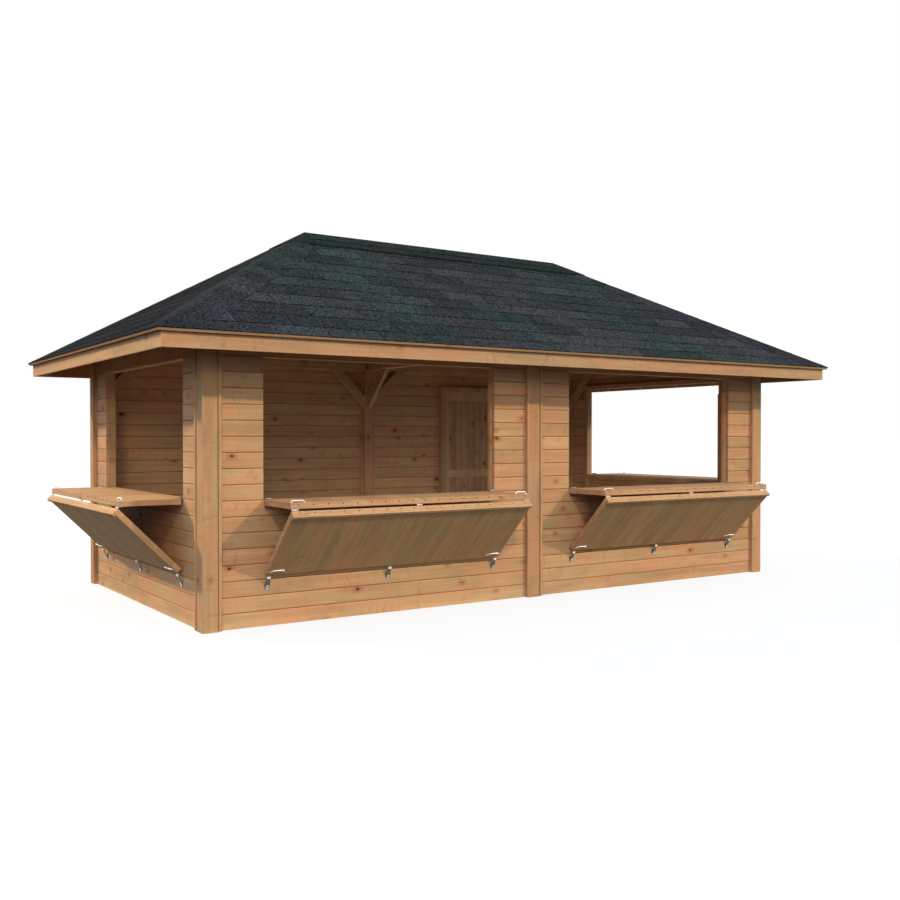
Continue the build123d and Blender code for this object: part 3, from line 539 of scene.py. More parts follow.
# Battens, studs and rails. Narrow planed strips hold the ends of the boards beside every
# post, and studs and rails line the openings. They are screwed to the boards and posts.
upright_batten = timber("upright_batten", Z, X + 0.6 * Y, knots=0.5, bright=1.06)
for name in ("battens_front", "battens_ends", "battens_back"):
    finish_with(name, upright_batten, eased=0.002)
for name in ("opening_jambs_front", "opening_jambs_ends"):
    finish_with(name, upright_timber, eased=0.002)
finish_with("opening_rails", long_timber, eased=0.002)


# Rear door. A softwood frame with stops, and a framed leaf whose two fields are filled
# with upright tongued boards, so that it can be walked through from behind the stall.
finish_with("door_frame", upright_timber, eased=0.002)
finish_with("door_leaf", timber("stile_timber", Z, X + 0.6 * Y, knots=0.4, bright=1.24), eased=0.0025)
leaf_low, leaf_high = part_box("door_leaf")
stile = 0.090
mid_rail_foot, mid_rail = 0.924, 0.089
bottom_rail, top_rail = 0.150, 0.110
slat_recess, slat_thickness, slat_bevel = 0.011, 0.006, 0.0035
fields = ((leaf_low.z + bottom_rail, mid_rail_foot), (mid_rail_foot + mid_rail, leaf_high.z - top_rail))
field_width = leaf_high.x - leaf_low.x - 2 * stile
door_boards = 8
slat = field_width / door_boards
slat_timber = timber("slat_timber", Z, X, joints=slat, knots=1.8, bright=0.90)
door_slats = []
slat_row = {"across": X * slat, "columns": door_boards}
for face, turn in ((leaf_high.y - slat_recess, 1), (leaf_low.y + slat_recess, -1)):
    for number, (low, high) in enumerate(fields):
        mesh = plank(Z * (high - low), X * slat, Y * turn * slat_thickness, slat_bevel)
        start = Vector((leaf_low.x + stile, face, low))
        door_slats.append(lay("slats", mesh, slat_timber, start=start, seed=31 + number, **slat_row))
door_slats = joined("door_boards", door_slats)
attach(door_slats, "door")


# Counters and flaps. Each leaf is a row of 13 mm tongued planks screwed across a frame of
# flat rails. The flap is hinged at the counter's outer edge and leans back to the wall.
hatch_thickness = 0.045
hatch_planks = 0.013
hatch_rail = 0.070
rail_bevel = 0.003
plank_bevel = 0.0022
plank_count = 18
plank_cover = 2 * opening_half / plank_count
counter_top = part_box("counter_front_left")[1].z
counter_stand_off = -0.010
counter_depth = 0.463
flap_length = 0.662
flap_hinge_out, flap_hinge_height = 0.4555, 0.889
flap_gap, flap_rise = 0.0025, 0.006
lean = radians(45)
lip_width, lip_thickness, lip_bevel = 0.026, 0.012, 0.0025
hatch_walls = ("front_left", "front_right", "left_end", "right_end")


def leaf(name, wall, origin, out, up, depth, finish_planks, finish_rails, seed):
    """A framed leaf: out runs from its inner edge to its far edge, up through its thickness to the planks."""
    low = hatch_thickness - hatch_planks
    field = (2 * opening_half - 3 * hatch_rail) / 2
    rails = [
        (-opening_half, offset, wall.along * (2 * opening_half), out * hatch_rail)
        for offset in (0.0, depth - hatch_rail)
    ]
    for w in (-opening_half, -opening_half + hatch_rail + field, opening_half - hatch_rail):
        rails.append((w, hatch_rail, out * (depth - 2 * hatch_rail), wall.along * hatch_rail))
    pieces = []
    for number, (w, offset, length, width) in enumerate(rails):
        mesh = plank(length, width, up * low, rail_bevel)
        start = origin + wall.along * w + out * offset
        pieces.append(lay("rail", mesh, finish_rails, start=start, seed=seed + number))
    mesh = plank(out * depth, wall.along * plank_cover, up * hatch_planks, plank_bevel)
    start = origin + wall.along * -opening_half + up * low
    row = {"across": wall.along * plank_cover, "columns": plank_count}
    pieces.append(lay("planks", mesh, finish_planks, start=start, seed=seed + 11, **row))
    return joined(name, pieces)


def flap_frame(wall):
    """The way down a leaning flap, the way out of its face, and its hinge's axis."""
    down = -wall.out * cos(lean) - Z * sin(lean)
    outer = wall.out * sin(lean) - Z * cos(lean)
    return down, outer, wall.at(0, flap_hinge_out, flap_hinge_height)


def flap_edge(wall):
    """The middle of the flap's upper edge on the side towards the wall."""
    down, outer, hinge = flap_frame(wall)
    return hinge + down * flap_gap + outer * flap_rise


for number, name in enumerate(hatch_walls):
    wall = walls[name]
    planks = timber("counter_planks_" + name, wall.out, wall.along, knots=0.3)
    rails = timber("counter_rails_" + name, wall.along, Z)
    origin = wall.at(0, counter_stand_off, counter_top - hatch_thickness)
    seed = 40 + 20 * number
    piece = leaf("planked_counter_" + name, wall, origin, wall.out, Z, counter_depth, planks, rails, seed)
    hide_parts("counter_" + name)
    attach(piece, "counter_" + name)

    down, outer = flap_frame(wall)[:2]
    origin = flap_edge(wall)
    # The flap planks are a little darker and greener than the counter's: painted shade for faces that lean
    # down away from the light.
    look = {"knots": 0.1, "bright": 0.97, "tint": (0.97, 1.02, 0.96)}
    planks = timber("flap_planks_" + name, down, wall.along, **look)
    rails = timber("flap_rails_" + name, wall.along, down)
    piece = leaf("planked_flap_" + name, wall, origin, down, outer, flap_length, planks, rails, seed + 10)
    mesh = plank(wall.along * 2 * opening_half, down * lip_width, outer * lip_thickness, lip_bevel)
    start = origin + wall.along * -opening_half + outer * hatch_thickness
    lip = lay("lip", mesh, rails, start=start, seed=7)
    piece = joined("planked_flap_" + name, [piece, lip])
    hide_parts("flap_" + name)
    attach(piece, "flap_" + name)


# Metalwork. Galvanised steel hinges, bow handles and toggle catches, pressed and bent
# from sheet and wire, with dull zinc on them. Dark screws hold the planks at the edges.
def spangled(name):
    """A new material whose sheen varies with a spangle, which comes with it."""
    material, tree, shader, place = new_material(name)
    spangle = noise(tree, place, 95.0, 3.0, 0.6)
    link(tree, ramp(tree, spangle, 0.3, 0.7, 0.34, 0.52), shader.inputs["Roughness"])
    return material, tree, shader, spangle


def zinc(name, bright):
    """Zinc-plated steel with a faint spangle."""
    material, tree, shader, spangle = spangled(name)
    cold = (0.58 * bright, 0.61 * bright, 0.64 * bright)
    pale = (0.80 * bright, 0.82 * bright, 0.84 * bright)
    colour = mix_colours(tree, ramp(tree, spangle, 0.35, 0.65), cold, pale)
    link(tree, colour, shader.inputs["Base Color"])
    shader.inputs["Metallic"].default_value = 0.8
    return material


galvanised = zinc("galvanised_steel", 0.80)
bright_zinc = zinc("bright_zinc", 1.15)
hinge_zinc = zinc("hinge_zinc", 0.42)
for name in ("door_pintles", "door_straps", "door_handle"):
    finish_with(name, galvanised)
finish_with("hatch_brackets", hinge_zinc)


def bar_tree():
    """Sweeps a round bar along a line whose corners are bent to a radius."""
    tree = bpy.data.node_groups.new("bent_bar", "GeometryNodeTree")
    kinds = {"Line": "Geometry", "Radius": "Float", "Bend": "Float", "Finish": "Material"}
    keys = {name: add_input(tree, name, kind) for name, kind in kinds.items()}
    tree.interface.new_socket(name="Bar", in_out="OUTPUT", socket_type="NodeSocketGeometry")
    given = tree.nodes.new("NodeGroupInput").outputs
    result = tree.nodes.new("NodeGroupOutput")
    line = tree.nodes.new("GeometryNodeMeshToCurve")
    link(tree, given["Line"], line.inputs["Mesh"])
    bends = tree.nodes.new("GeometryNodeFilletCurve")
    bends.mode = "POLY"
    bends.inputs["Count"].default_value = 4
    link(tree, line.outputs[0], bends.inputs["Curve"])
    link(tree, given["Bend"], bends.inputs["Radius"])
    ring = tree.nodes.new("GeometryNodeCurvePrimitiveCircle")
    ring.inputs["Resolution"].default_value = 10
    link(tree, given["Radius"], ring.inputs["Radius"])
    swept = tree.nodes.new("GeometryNodeCurveToMesh")
    link(tree, bends.outputs[0], swept.inputs["Curve"])
    link(tree, ring.outputs[0], swept.inputs["Profile Curve"])
    swept.inputs["Fill Caps"].default_value = True
    real = tree.nodes.new("GeometryNodeRealizeInstances")
    link(tree, swept.outputs[0], real.inputs[0])
    surfaced = tree.nodes.new("GeometryNodeSetMaterial")
    link(tree, real.outputs[0], surfaced.inputs["Geometry"])
    link(tree, given["Finish"], surfaced.inputs["Material"])
    link(tree, surfaced.outputs[0], result.inputs[0])
    return tree, keys


bent_bar, bar_key = bar_tree()


def bar(points, radius, bend, finish, closed=False):
    """A round bar bent through points."""
    mesh = bpy.data.meshes.new("line")
    edges = [(i, i + 1) for i in range(len(points) - 1)]
    mesh.from_pydata(points, edges + ([(len(points) - 1, 0)] if closed else []), [])
    values = {"Radius": radius, "Bend": bend, "Finish": finish}
    piece = new_piece("bar", mesh, bent_bar, [(bar_key[key], value) for key, value in values.items()])
    for face in piece.data.polygons:
        face.use_smooth = len(face.vertices) == 4
    return piece


def pressed(middle, side, up, outline, out, finish):
    """A flat pressed plate: an outline in side and up about its middle, thickened by out."""
    bm = bmesh.new()
    low = [bm.verts.new(middle + side * x + up * y) for x, y in outline]
    high = [bm.verts.new(middle + side * x + up * y + out) for x, y in outline]
    between(bm, low, high)
    return lay("plate", mesh_of(bm, "plate"), finish)


def rounded(half_width, half_height, corner):
    """The outline of a plate with rounded corners."""
    points = []
    for turn, x, y in ((0, 1, 1), (1, -1, 1), (2, -1, -1), (3, 1, -1)):
        centre_x, centre_y = x * (half_width - corner), y * (half_height - corner)
        for step in range(4):
            a = (turn + step / 3) * pi / 2
            points.append((centre_x + corner * cos(a), centre_y + corner * sin(a)))
    return points


def bow_handle(middle, side, rise, foot_shift):
    """A bent bar with a flat foot at each end; foot_shift moves its feet away from under it."""
    half, foot_half, radius, bend = 0.041, 0.052, 0.0052, 0.009
    top = rise.normalized() * (rise.length - radius)
    ends = [middle + side * turn * foot_half + foot_shift for turn in (-1, 1)]
    line = [ends[0], middle - side * half + top, middle + side * half + top, ends[1]]
    made = [bar(line, radius, bend, bright_zinc)]
    along = side.cross(rise).normalized()
    foot_plate, foot_thickness = rounded(0.0090, 0.0065, 0.004), rise.normalized() * 0.002
    for end in ends:
        made.append(pressed(end, side, along, foot_plate, foot_thickness, bright_zinc))
    return made


def without_wide_parts(name, along, widest, finish):
    """A copy of a CAD node, merged, without its separate parts that are wider than widest."""
    bm = bmesh.new()
    bm.from_mesh(node[name].data)
    bmesh.ops.remove_doubles(bm, verts=bm.verts[:], dist=0.00002)
    todo = set(bm.verts)
    dropped = []
    while todo:
        part, front = set(), [todo.pop()]
        while front:
            vert = front.pop()
            part.add(vert)
            for edge in vert.link_edges:
                other = edge.other_vert(vert)
                if other in todo:
                    todo.remove(other)
                    front.append(other)
        reach = [vert.co.dot(along) for vert in part]
        if max(reach) - min(reach) > widest:
            dropped += part
    bmesh.ops.delete(bm, geom=dropped, context="VERTS")
    return lay("hinges", mesh_of(bm, "hinges", turn_out=False), finish)


widest_hinge = 0.09
handle_height = 0.020
counter_handle_spot, counter_handle_out = 0.990, 0.425
flap_handle_spot, flap_handle_down, flap_handle_face = 0.980, 0.594, 0.051
flap_handle_feet = 0.032
bracket_reach = 0.10
for name in hatch_walls:
    wall = walls[name]
    hinges = without_wide_parts("counter_fittings_" + name, wall.along, widest_hinge, galvanised)
    hinges.data.materials.append(hinge_zinc)
    for face in hinges.data.polygons:
        if (face.center - wall.foot).dot(wall.out) < bracket_reach:
            face.material_index = 1
    pieces = [hinges]
    for turn in (-1, 1):
        foot = wall.at(turn * counter_handle_spot, counter_handle_out, counter_top)
        pieces += bow_handle(foot, wall.along, Z * handle_height, Vector())
    piece = joined("counter_hinges_and_handles_" + name, pieces)
    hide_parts("counter_fittings_" + name)
    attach(piece, "counter_" + name)

    down, outer, hinge = flap_frame(wall)
    pieces = [without_wide_parts("flap_fittings_" + name, wall.along, widest_hinge, galvanised)]
    for turn in (-1, 1):
        beside = wall.along * turn * flap_handle_spot
        foot = hinge + beside + down * flap_handle_down + outer * flap_handle_face
        pieces += bow_handle(foot, wall.along, outer * handle_height, down * flap_handle_feet)
    piece = joined("flap_hinges_and_handles_" + name, pieces)
    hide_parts("flap_fittings_" + name)
    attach(piece, "flap_" + name)


# Toggle catches. Each has a dull base plate on the sill boards, a green lever that leans out
# from it, a bright grip across the lever's upper end and a bright ring at its foot.
green_steel, _, green_paint, _ = spangled("green_steel")
green_paint.inputs["Base Color"].default_value = (0.070, 0.092, 0.055, 1)
plate_zinc = zinc("plate_zinc", 0.26)
catch_spot = 1.030
catch_foot = 0.298
catch_lean = radians(22)
base_plate, base_thickness = rounded(0.017, 0.026, 0.004), 0.003
lever_plate = rounded(0.0155, 0.040, 0.003)
grip_plate = rounded(0.0135, 0.0095, 0.004)
lever_stand_off, lever_middle, lever_thickness = 0.005, 0.030, 0.004
grip_middle, grip_sunk, grip_depth = 0.076, 0.003, 0.013
ring_corners = ((-0.007, 0.008), (0.007, 0.008), (0.007, -0.020), (-0.007, -0.020))
ring_stand_off, ring_radius, ring_bend = 0.006, 0.0026, 0.005
catches = []
for name in hatch_walls:
    wall = walls[name]
    side = wall.along
    up = Z * cos(catch_lean) + wall.out * sin(catch_lean)
    face = wall.out * cos(catch_lean) - Z * sin(catch_lean)
    for w in (-catch_spot, 0, catch_spot):
        base = wall.at(w, -board_recess, catch_foot)
        foot = base + wall.out * lever_stand_off
        lever = foot + up * lever_middle
        grip = foot + up * grip_middle - face * grip_sunk
        loop = foot + face * ring_stand_off
        catches.append(pressed(base, side, Z, base_plate, wall.out * base_thickness, plate_zinc))
        catches.append(pressed(lever, side, up, lever_plate, face * lever_thickness, green_steel))
        catches.append(pressed(grip, side, up, grip_plate, face * grip_depth, bright_zinc))
        corners = [loop + side * x + up * y for x, y in ring_corners]
        catches.append(bar(corners, ring_radius, ring_bend, bright_zinc, closed=True))
catches = joined("toggle_catches", catches)
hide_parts("hatch_catches")
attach(catches, "stall")


def screw_head(normal):
    """A countersunk head: a shallow dome with a star socket sunk in it."""
    bm = bmesh.new()
    turn = normal.to_track_quat("Z", "Y").to_matrix()
    radius, points = 0.0070, 12
    outer, top, dip = [], [], []
    for i in range(points):
        a = 2 * pi * i / points
        c, s = cos(a), sin(a)
        inner = radius * (0.42 if i % 2 else 0.30)
        outer.append(bm.verts.new(turn @ Vector((radius * c, radius * s, -0.0006))))
        top.append(bm.verts.new(turn @ Vector((inner * c, inner * s, 0.0012))))
        dip.append(bm.verts.new(turn @ Vector((inner * 0.8 * c, inner * 0.8 * s, 0.0001))))
    for i in range(points):
        j = (i + 1) % points
        bm.faces.new((outer[i], outer[j], top[j], top[i]))
        bm.faces.new((top[i], top[j], dip[j], dip[i]))
    bm.faces.new(dip)
    bm.faces.new(outer[::-1])
    return mesh_of(bm, "screw_head", turn_out=False)


def screw_row(wall, normal, start, seed):
    """A screw in the middle of every plank of a leaf."""
    first = start + wall.along * (-opening_half + plank_cover / 2)
    row = {"across": wall.along * plank_cover, "columns": plank_count}
    return lay("screws", screw_head(normal), screw_zinc, start=first, seed=seed, **row)


screw_zinc = zinc("screw_zinc", 0.06)
counter_edge, counter_front_screws, counter_back_screws = 0.453, 0.418, 0.030
edge_screw_depth, flap_screw_depth = 0.016, 0.022
for name in hatch_walls:
    wall = walls[name]
    pieces = [
        screw_row(wall, wall.out, wall.at(0, counter_edge, counter_top - edge_screw_depth), 3),
        screw_row(wall, Z, wall.at(0, counter_back_screws, counter_top), 4),
        screw_row(wall, Z, wall.at(0, counter_front_screws, counter_top), 4),
    ]
    piece = joined("counter_screws_" + name, pieces)
    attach(piece, "counter_" + name)
    down, outer = flap_frame(wall)[:2]
    edge = screw_row(wall, -down, flap_edge(wall) + outer * flap_screw_depth, 5)
    piece = joined("flap_screws_" + name, [edge])
    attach(piece, "flap_" + name)


# Roof frame. Sawn common rafters, jacks, hips and a ridge beam, birdsmouthed over the ring
# beam and cut plumb behind the fascia. They show from inside and under the eaves.
pitch = radians(30)
rafter_front = timber("rafter_timber_front", Y * cos(pitch) + Z * sin(pitch), X)
rafter_back = timber("rafter_timber_back", -Y * cos(pitch) + Z * sin(pitch), X)
rafter_ends = timber("rafter_timber_ends", X + 0.3 * Z, Y)
finish_with("rafters_front", rafter_front)
finish_with("rafters_back", rafter_back)
finish_with("rafters_ends", rafter_ends)
finish_with("hip_rafters", timber("hip_timber", X + 0.5 * Z, Y + 0.3 * Z))
finish_with("ridge_beam", long_timber)


# Fascia and deck. Planed fascia boards are mitred at the corners and nailed to the rafter
# tails, and tongued deck boards lie over the rafters, with their edge showing at the eaves.
fascia_long = timber("fascia_timber_long", X, Z, knots=0.7, bright=1.05)
fascia_cross = timber("fascia_timber_cross", Y, Z, knots=0.7, bright=1.05)
finish_with("fascia_long", fascia_long, eased=0.0015)
finish_with("fascia_ends", fascia_cross, eased=0.0015)
deck_cover = 0.100
level_cover = deck_cover * cos(pitch)
finish_with("deck_long_slopes", timber("deck_boards_long", X, Y, joints=level_cover, counted=True))
finish_with("deck_hip_ends", timber("deck_boards_cross", Y, X, joints=level_cover, counted=True))


# Shingles. Bitumen tabs, 440 mm wide and faced with dark mineral grains, are nailed up each
# slope in courses 198 mm apart, half a tab out of step, over an underlay, with a cap on top.
tab_width = 0.440
tab_gap = 0.008
exposure = 0.198
first_course = 0.162
edge_out = 0.467
edge_top = 2.115
half_length = (right_x - left_x) / 2
half_width = (back_y - front_y) / 2
slope_run = (half_width + edge_out) / cos(pitch)
cap_foot = 2.014
mineral_blue = (0.0262, 0.0295, 0.0350)
mineral_green = (0.0200, 0.0322, 0.0294)
mineral_plum = (0.0300, 0.0292, 0.0325)


def slope_points(wall):
    """The middle of a slope's lower edge, the way up the slope, and its outward normal."""
    up = (-wall.out * cos(pitch) + Z * sin(pitch)).normalized()
    normal = (wall.out * sin(pitch) + Z * cos(pitch)).normalized()
    return wall.at(0, edge_out, edge_top), up, normal


def course_shadow(tree, place):
    """What is left of the light at the broken line of each course, and under the ridge cap."""
    rise = vector_node(tree, "DOT_PRODUCT", place, Z)
    climb = math_node(tree, "MULTIPLY_ADD", rise, 1 / sin(pitch), -edge_top / sin(pitch))
    level = math_node(tree, "MULTIPLY_ADD", climb, 1 / exposure, -first_course / exposure)
    part = math_node(tree, "FRACT", math_node(tree, "ADD", level, 40.0))
    above = product(tree, part, exposure)
    below_joint = ramp(tree, above, exposure - 0.013, exposure - 0.006)
    butt = math_node(tree, "MAXIMUM", below_joint, ramp(tree, above, 0.003, 0.001))
    breaks = stretched_noise(tree, place, (2.2, 2.2, 2.2), 2.0, 0.5, 0.0, 4.4)
    dark = product(tree, butt, ramp(tree, breaks, 0.36, 0.60, 0.12, 0.72))
    under_cap = band(tree, climb, cap_foot - 0.032, cap_foot - 0.018, cap_foot, cap_foot + 0.006)
    lit = math_node(tree, "SUBTRACT", 1.0, dark)
    return lit, ramp(tree, under_cap, 0.0, 1.0, 1.0, 0.15)


def mineral(name, base, courses=False, green_bands=(), shade_of=1.0):
    """Dark mineral grains over bitumen, with the shadows of the courses where those are asked for."""
    material, tree, shader, place = new_material(name)
    side = vector_node(tree, "DOT_PRODUCT", place, X)
    patches = noise(tree, place, 0.9, 2.0, 0.55)
    fading = stretched_noise(tree, place, (5.2, 5.2, 2.0))
    flakes = tree.nodes.new("ShaderNodeTexVoronoi")
    flakes.inputs["Scale"].default_value = 84.0
    link(tree, place, flakes.inputs["Vector"])
    speckle = vector_node(tree, "DOT_PRODUCT", flakes.outputs["Color"], (0.56, 0.26, 0.18))
    grains = noise(tree, place, 290.0, 2.0, 0.75)
    colour = mix_colours(tree, ramp(tree, patches, 0.48, 0.62, 0.0, 0.7), base, mineral_green)
    colour = mix_colours(tree, ramp(tree, fading, 0.44, 0.66, 0.0, 0.75), colour, mineral_plum)
    for low, high in green_bands:
        green = band(tree, side, low - 0.1, low + 0.1, high - 0.1, high + 0.1)
        colour = mix_colours(tree, product(tree, green, 0.6), colour, mineral_green)
    strength = ramp(tree, own_tone(tree), 0.0, 1.0, 0.74 * shade_of, 1.26 * shade_of)
    strength = product(tree, strength, ramp(tree, speckle, 0.15, 0.85, 0.22, 1.78))
    strength = product(tree, strength, ramp(tree, grains, 0.30, 0.72, 0.70, 1.30))
    if courses:
        for factor in course_shadow(tree, place):
            strength = product(tree, strength, factor)
    link(tree, scaled(tree, colour, strength), shader.inputs["Base Color"])
    shader.inputs["Roughness"].default_value = 1.0
    shader.inputs["Specular IOR Level"].default_value = 0.01
    roughen(tree, shader, speckle, 0.6, 0.002)
    return material


green_bands = ((-1.67, -1.07), (1.03, 1.63))
tab_grains = mineral("tab_grains", mineral_blue, courses=True, green_bands=green_bands)
# The hip-end slopes get a darker copy of the same grains: painted shade for slopes that the light meets at a
# slant.
end_grains_painted_shade = mineral("end_grains_painted_shade", mineral_blue, shade_of=0.48)
gap_grains = mineral("gap_grains", mineral_blue, shade_of=0.22)
cap_grains = mineral("cap_grains", mineral_green, shade_of=0.86)
hip_grains = mineral("hip_grains", mineral_blue, shade_of=0.90)
tab_sunk = 0.005
tab_thick, tab_thin = 0.005, 0.0022
underlay_thickness, underlay_sunk = 0.003, 0.008
hip_inset = 0.0015
ridge_gap = 0.003


def wedge(w, up, normal, width, length, low, high, base):
    """A tab along w and up, low thick at its lower edge and high at its upper, with base under it."""
    bm = bmesh.new()
    corners = []
    for across in (0, width):
        for run, thick in ((0, low), (length, high)):
            foot = w * across + up * run
            pair = (foot + normal * base, foot + normal * (base + thick))
            corners.append([bm.verts.new(spot) for spot in pair])
    near_low, near_high, far_low, far_high = corners
    outlines = (near_low + near_high[::-1], far_low + far_high[::-1])
    between(bm, *outlines)
    return mesh_of(bm, "tab")


def hip_planes(wall, half, inset):
    """Upright planes under both hips of a slope, pointing away from it."""
    return [
        (wall.at(turn * (half - inset), 0, 0), (wall.along * turn - wall.out).normalized())
        for turn in (-1, 1)
    ]


front_wall, back_wall = walls["front"], walls["back"]
left_wall, right_wall = walls["left_end"], walls["right_end"]
courses = int((slope_run - first_course) / exposure) + 2
for place, wall, half, step_aside, grains, replaced in (
    ("front", front_wall, half_length, 0.043, tab_grains, "cover_long_slopes"),
    ("back", back_wall, half_length, 0.043, tab_grains, None),
    ("left", left_wall, half_width, 0.130, end_grains_painted_shade, "cover_hip_ends"),
    ("right", right_wall, half_width, 0.130, end_grains_painted_shade, None),
):
    start, up, normal = slope_points(wall)
    reach = half + edge_out + tab_width
    columns = int(2 * reach / tab_width) + 2
    sheet = wedge(
        wall.along, up, normal, 2 * reach, slope_run,
        underlay_thickness, underlay_thickness, -underlay_sunk,
    )
    underlay = lay("underlay", sheet, gap_grains, start=start - wall.along * reach, seed=2)
    tab = wedge(wall.along, up, normal, tab_width - tab_gap, exposure, tab_thick, tab_thin, -tab_sunk)
    first = start - wall.along * (reach + step_aside) + up * (first_course - exposure)
    steps = {"across": wall.along * tab_width, "up": up * exposure, "columns": columns, "rows": courses}
    tabs = lay("tabs", tab, grains, start=first, stagger=0.5, seed=len(place) * 13, **steps)
    piece = joined("shingles_" + place, [underlay, tabs])
    ridge_stop = (wall.at(0, -half_width + ridge_gap, 0), -wall.out)
    eave_stop = (start, -up)
    cut_off(piece, *hip_planes(wall, half, hip_inset), ridge_stop, eave_stop)
    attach(piece, "stall")
    if replaced:
        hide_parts(replaced)

finish_with("ridge_cap", cap_grains)
ridge_half = half_length - half_width
ridge_top = Vector((0, middle_y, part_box("ridge_cap")[1].z))
cap_lap, strip_edge = 0.165, 0.0045
strips = []
for wall in (front_wall, back_wall):
    up, normal = slope_points(wall)[1:]
    strip = wedge(wall.along, up, normal, 2 * ridge_half, cap_lap, strip_edge, 0.0, 0.0)
    low_end = ridge_top - wall.along * ridge_half - up * cap_lap
    strips.append(lay("cap_strip", strip, cap_grains, start=low_end, seed=5))
ridge_strips = joined("ridge_cap_strips", strips)
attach(ridge_strips, "stall")


# Hip caps. Bitumen pieces, folded over each hip and lapped up it every 170 mm, so that rain
# can't get in where two slopes meet. Every second one is cut in two beside the hip.
cap_exposure = 0.170
cap_half = 0.230
cap_slit, slit_half = 0.040, 0.003
cap_first, caps_end = 0.045, 0.36
cap_thick, cap_thin = 0.0020, 0.0008
cap_eave_gap = 0.004


def cap_mesh(hip, sides, split):
    """One folded cap: a plate on each slope, or two beside a slit, thick at the lower edge."""
    bm = bmesh.new()
    fold = (sides[0][1] + sides[1][1]).normalized()
    for inward, normal in sides:
        spans = [(0.0, cap_half)]
        if split:
            spans = [(0.0, cap_slit - slit_half), (cap_slit + slit_half, cap_half)]
        for near, far in spans:
            rings = []
            for run, thick in ((0.0, cap_thick), (cap_exposure, cap_thin)):
                ring = []
                for reach in (near, far):
                    foot = inward * reach + hip * run
                    rise = fold * (thick / fold.dot(normal)) if reach == 0.0 else normal * thick
                    ring.append([bm.verts.new(foot), bm.verts.new(foot + rise)])
                rings.append(ring[0] + ring[1][::-1])
            between(bm, *rings)
    return mesh_of(bm, "hip_cap")


cap_pieces = []
for turn_x, wall_end in ((-1, left_wall), (1, right_wall)):
    for turn_y, wall_long in ((-1, front_wall), (1, back_wall)):
        eave_x, eave_y = half_length + edge_out, half_width + edge_out
        corner = Vector((turn_x * eave_x, middle_y + turn_y * eave_y, edge_top))
        peak = Vector((turn_x * ridge_half, middle_y, edge_top + eave_y * tan(pitch)))
        hip = (peak - corner).normalized()
        sides = []
        eaves = []
        for wall in (wall_long, wall_end):
            up, normal = slope_points(wall)[1:]
            inward = hip.cross(normal).normalized()
            sides.append((inward if inward.dot(wall.foot - corner) > 0 else -inward, normal))
            eaves.append((corner + up * cap_eave_gap, -up))
        count = int(((peak - corner).length - caps_end - cap_first) / cap_exposure) + 1
        for split in (0, 1):
            start = corner + hip * (cap_first + (split - 1) * cap_exposure)
            seed = int(17 + turn_x * 3 + turn_y * 5) + split
            steps = {"up": hip * 2 * cap_exposure, "rows": (count + 2 - split) // 2}
            mesh = cap_mesh(hip, sides, split)
            laid = lay("hip_caps", mesh, hip_grains, start=start, seed=seed, **steps)
            cap_pieces.append(cut_off(laid, *eaves))
hip_caps = joined("hip_cap_tabs", cap_pieces)
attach(hip_caps, "stall")


# Studio. A plain pale floor that keeps the stall's shadow, a plain white surround, and four
# soft suns that light the front and the left end as in the photograph.
def seen_rays(tree):
    """1 for the rays that the camera sees, straight or by reflection."""
    rays = tree.nodes.new("ShaderNodeLightPath").outputs
    bounced = math_node(tree, "MAXIMUM", rays["Is Glossy Ray"], rays["Is Transmission Ray"])
    return math_node(tree, "MAXIMUM", rays["Is Camera Ray"], bounced)


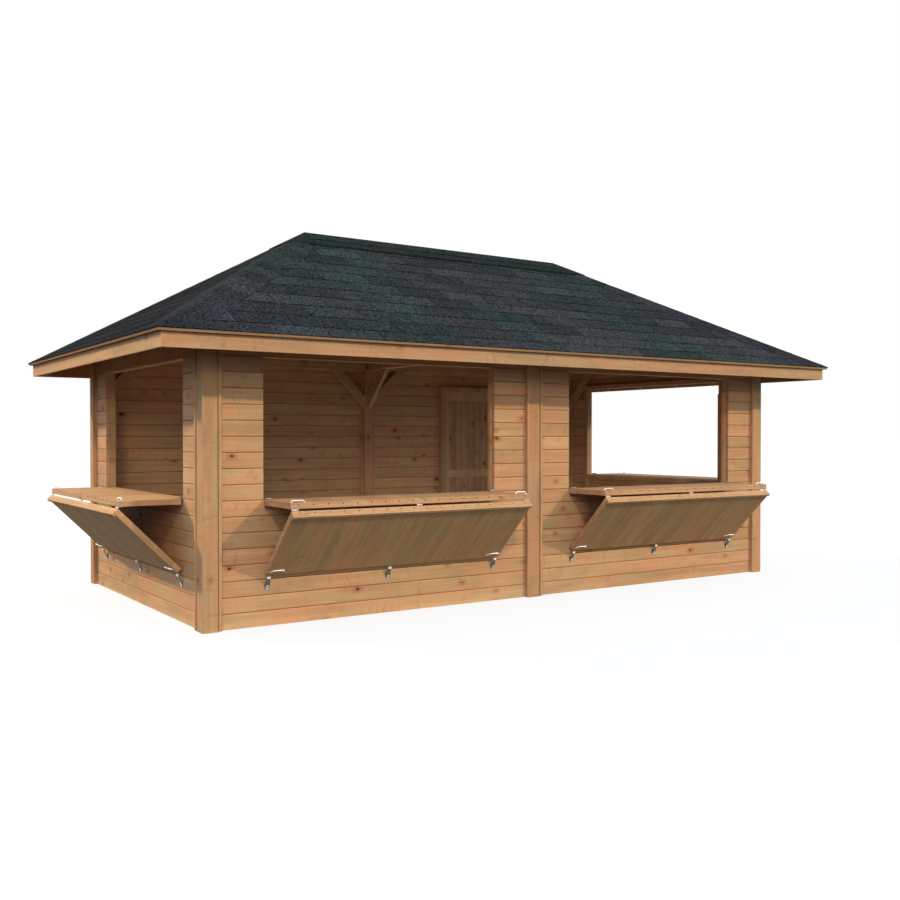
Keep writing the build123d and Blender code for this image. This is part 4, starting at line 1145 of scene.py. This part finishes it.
def paper():
    """Pale to the camera and in reflections. Other rays meet a bluish, faintly glowing floor
    inside the stall and a dark one around it."""
    material, tree, shader, place = new_material("pale_floor")
    seen = seen_rays(tree)
    level_x = vector_node(tree, "DOT_PRODUCT", place, X)
    level_y = vector_node(tree, "DOT_PRODUCT", place, Y)
    beyond_x = math_node(tree, "GREATER_THAN", math_node(tree, "ABSOLUTE", level_x), right_x)
    beyond_y = math_node(tree, "GREATER_THAN", math_node(tree, "ABSOLUTE", level_y), half_width)
    outside = math_node(tree, "MAXIMUM", beyond_x, beyond_y)
    beside_left = math_node(tree, "LESS_THAN", level_x, left_x)
    ground = mix_colours(tree, beside_left, (0.070, 0.080, 0.080), (0.010, 0.015, 0.010))
    lit = mix_colours(tree, outside, (0.66, 0.88, 0.95), ground)
    link(tree, mix_colours(tree, seen, lit, (0.80, 0.80, 0.80)), shader.inputs["Base Color"])
    shader.inputs["Roughness"].default_value = 0.9
    shader.inputs["Specular IOR Level"].default_value = 0.0
    white = tree.nodes.new("ShaderNodeEmission")
    white.inputs["Color"].default_value = (1, 1, 1, 1)
    white.inputs["Strength"].default_value = 1.0
    blend = tree.nodes.new("ShaderNodeMixShader")
    glow = math_node(tree, "MULTIPLY_ADD", outside, -0.13, 0.13)
    unseen_glow = product(tree, math_node(tree, "SUBTRACT", 1.0, seen), glow)
    link(tree, math_node(tree, "MULTIPLY_ADD", seen, 0.86, unseen_glow), blend.inputs[0])
    link(tree, shader.outputs[0], blend.inputs[1])
    link(tree, white.outputs[0], blend.inputs[2])
    link(tree, blend.outputs[0], tree.nodes["Material Output"].inputs["Surface"])
    return material


bpy.ops.mesh.primitive_plane_add(size=400, location=(0, 0, -0.0005))
floor = bpy.context.active_object
floor.name = "floor"
floor.data.materials.append(paper())

world = bpy.context.scene.world or bpy.data.worlds.new("studio")
bpy.context.scene.world = world
world.use_nodes = True
sky = world.node_tree
surround = sky.nodes["Background"]
height = sky.nodes.new("ShaderNodeSeparateXYZ")
link(sky, sky.nodes.new("ShaderNodeTexCoord").outputs["Generated"], height.inputs[0])
climb = ramp(sky, height.outputs[2], 0.1, 0.9)
overcast = mix_colours(sky, climb, (0.64, 0.78, 0.96), (0.98, 1.16, 1.38))
white_sky = mix_colours(sky, seen_rays(sky), overcast, (1.0, 1.0, 1.0))
link(sky, white_sky, surround.inputs["Color"])
surround.inputs["Strength"].default_value = 1.0


def sun(name, towards, strength, softness):
    """A warm sun whose light comes from a direction, and whose disc is softness degrees wide."""
    lamp = bpy.data.lights.new(name, "SUN")
    lamp.color = (1.0, 0.85, 0.60)
    lamp.energy = strength
    lamp.angle = radians(softness)
    holder = bpy.data.objects.new(name, lamp)
    holder.rotation_euler = Vector(towards).to_track_quat("Z", "Y").to_euler()
    bpy.context.scene.collection.objects.link(holder)


sun("front_sun", (0.74, -1.0, 0.70), 1.31, 2.0)
sun("second_front_sun", (-0.48, -1.0, 0.72), 0.84, 3.0)
sun("low_front_sun", (-0.50, -1.0, 0.28), 0.42, 10.0)
sun("left_sun", (-1.0, 1.35, 1.12), 3.05, 2.0)

camera = bpy.data.objects.new("camera", bpy.data.cameras.new("camera"))
camera.data.sensor_width = 36
camera.data.lens = 40.29
camera.location = (-5.5052, middle_y - 8.4336, 1.3998)
camera.rotation_euler = (pi / 2 - 0.0128, 0, -0.5895)
bpy.context.scene.collection.objects.link(camera)
bpy.context.scene.camera = camera
bpy.context.scene.view_settings.view_transform = "Standard"
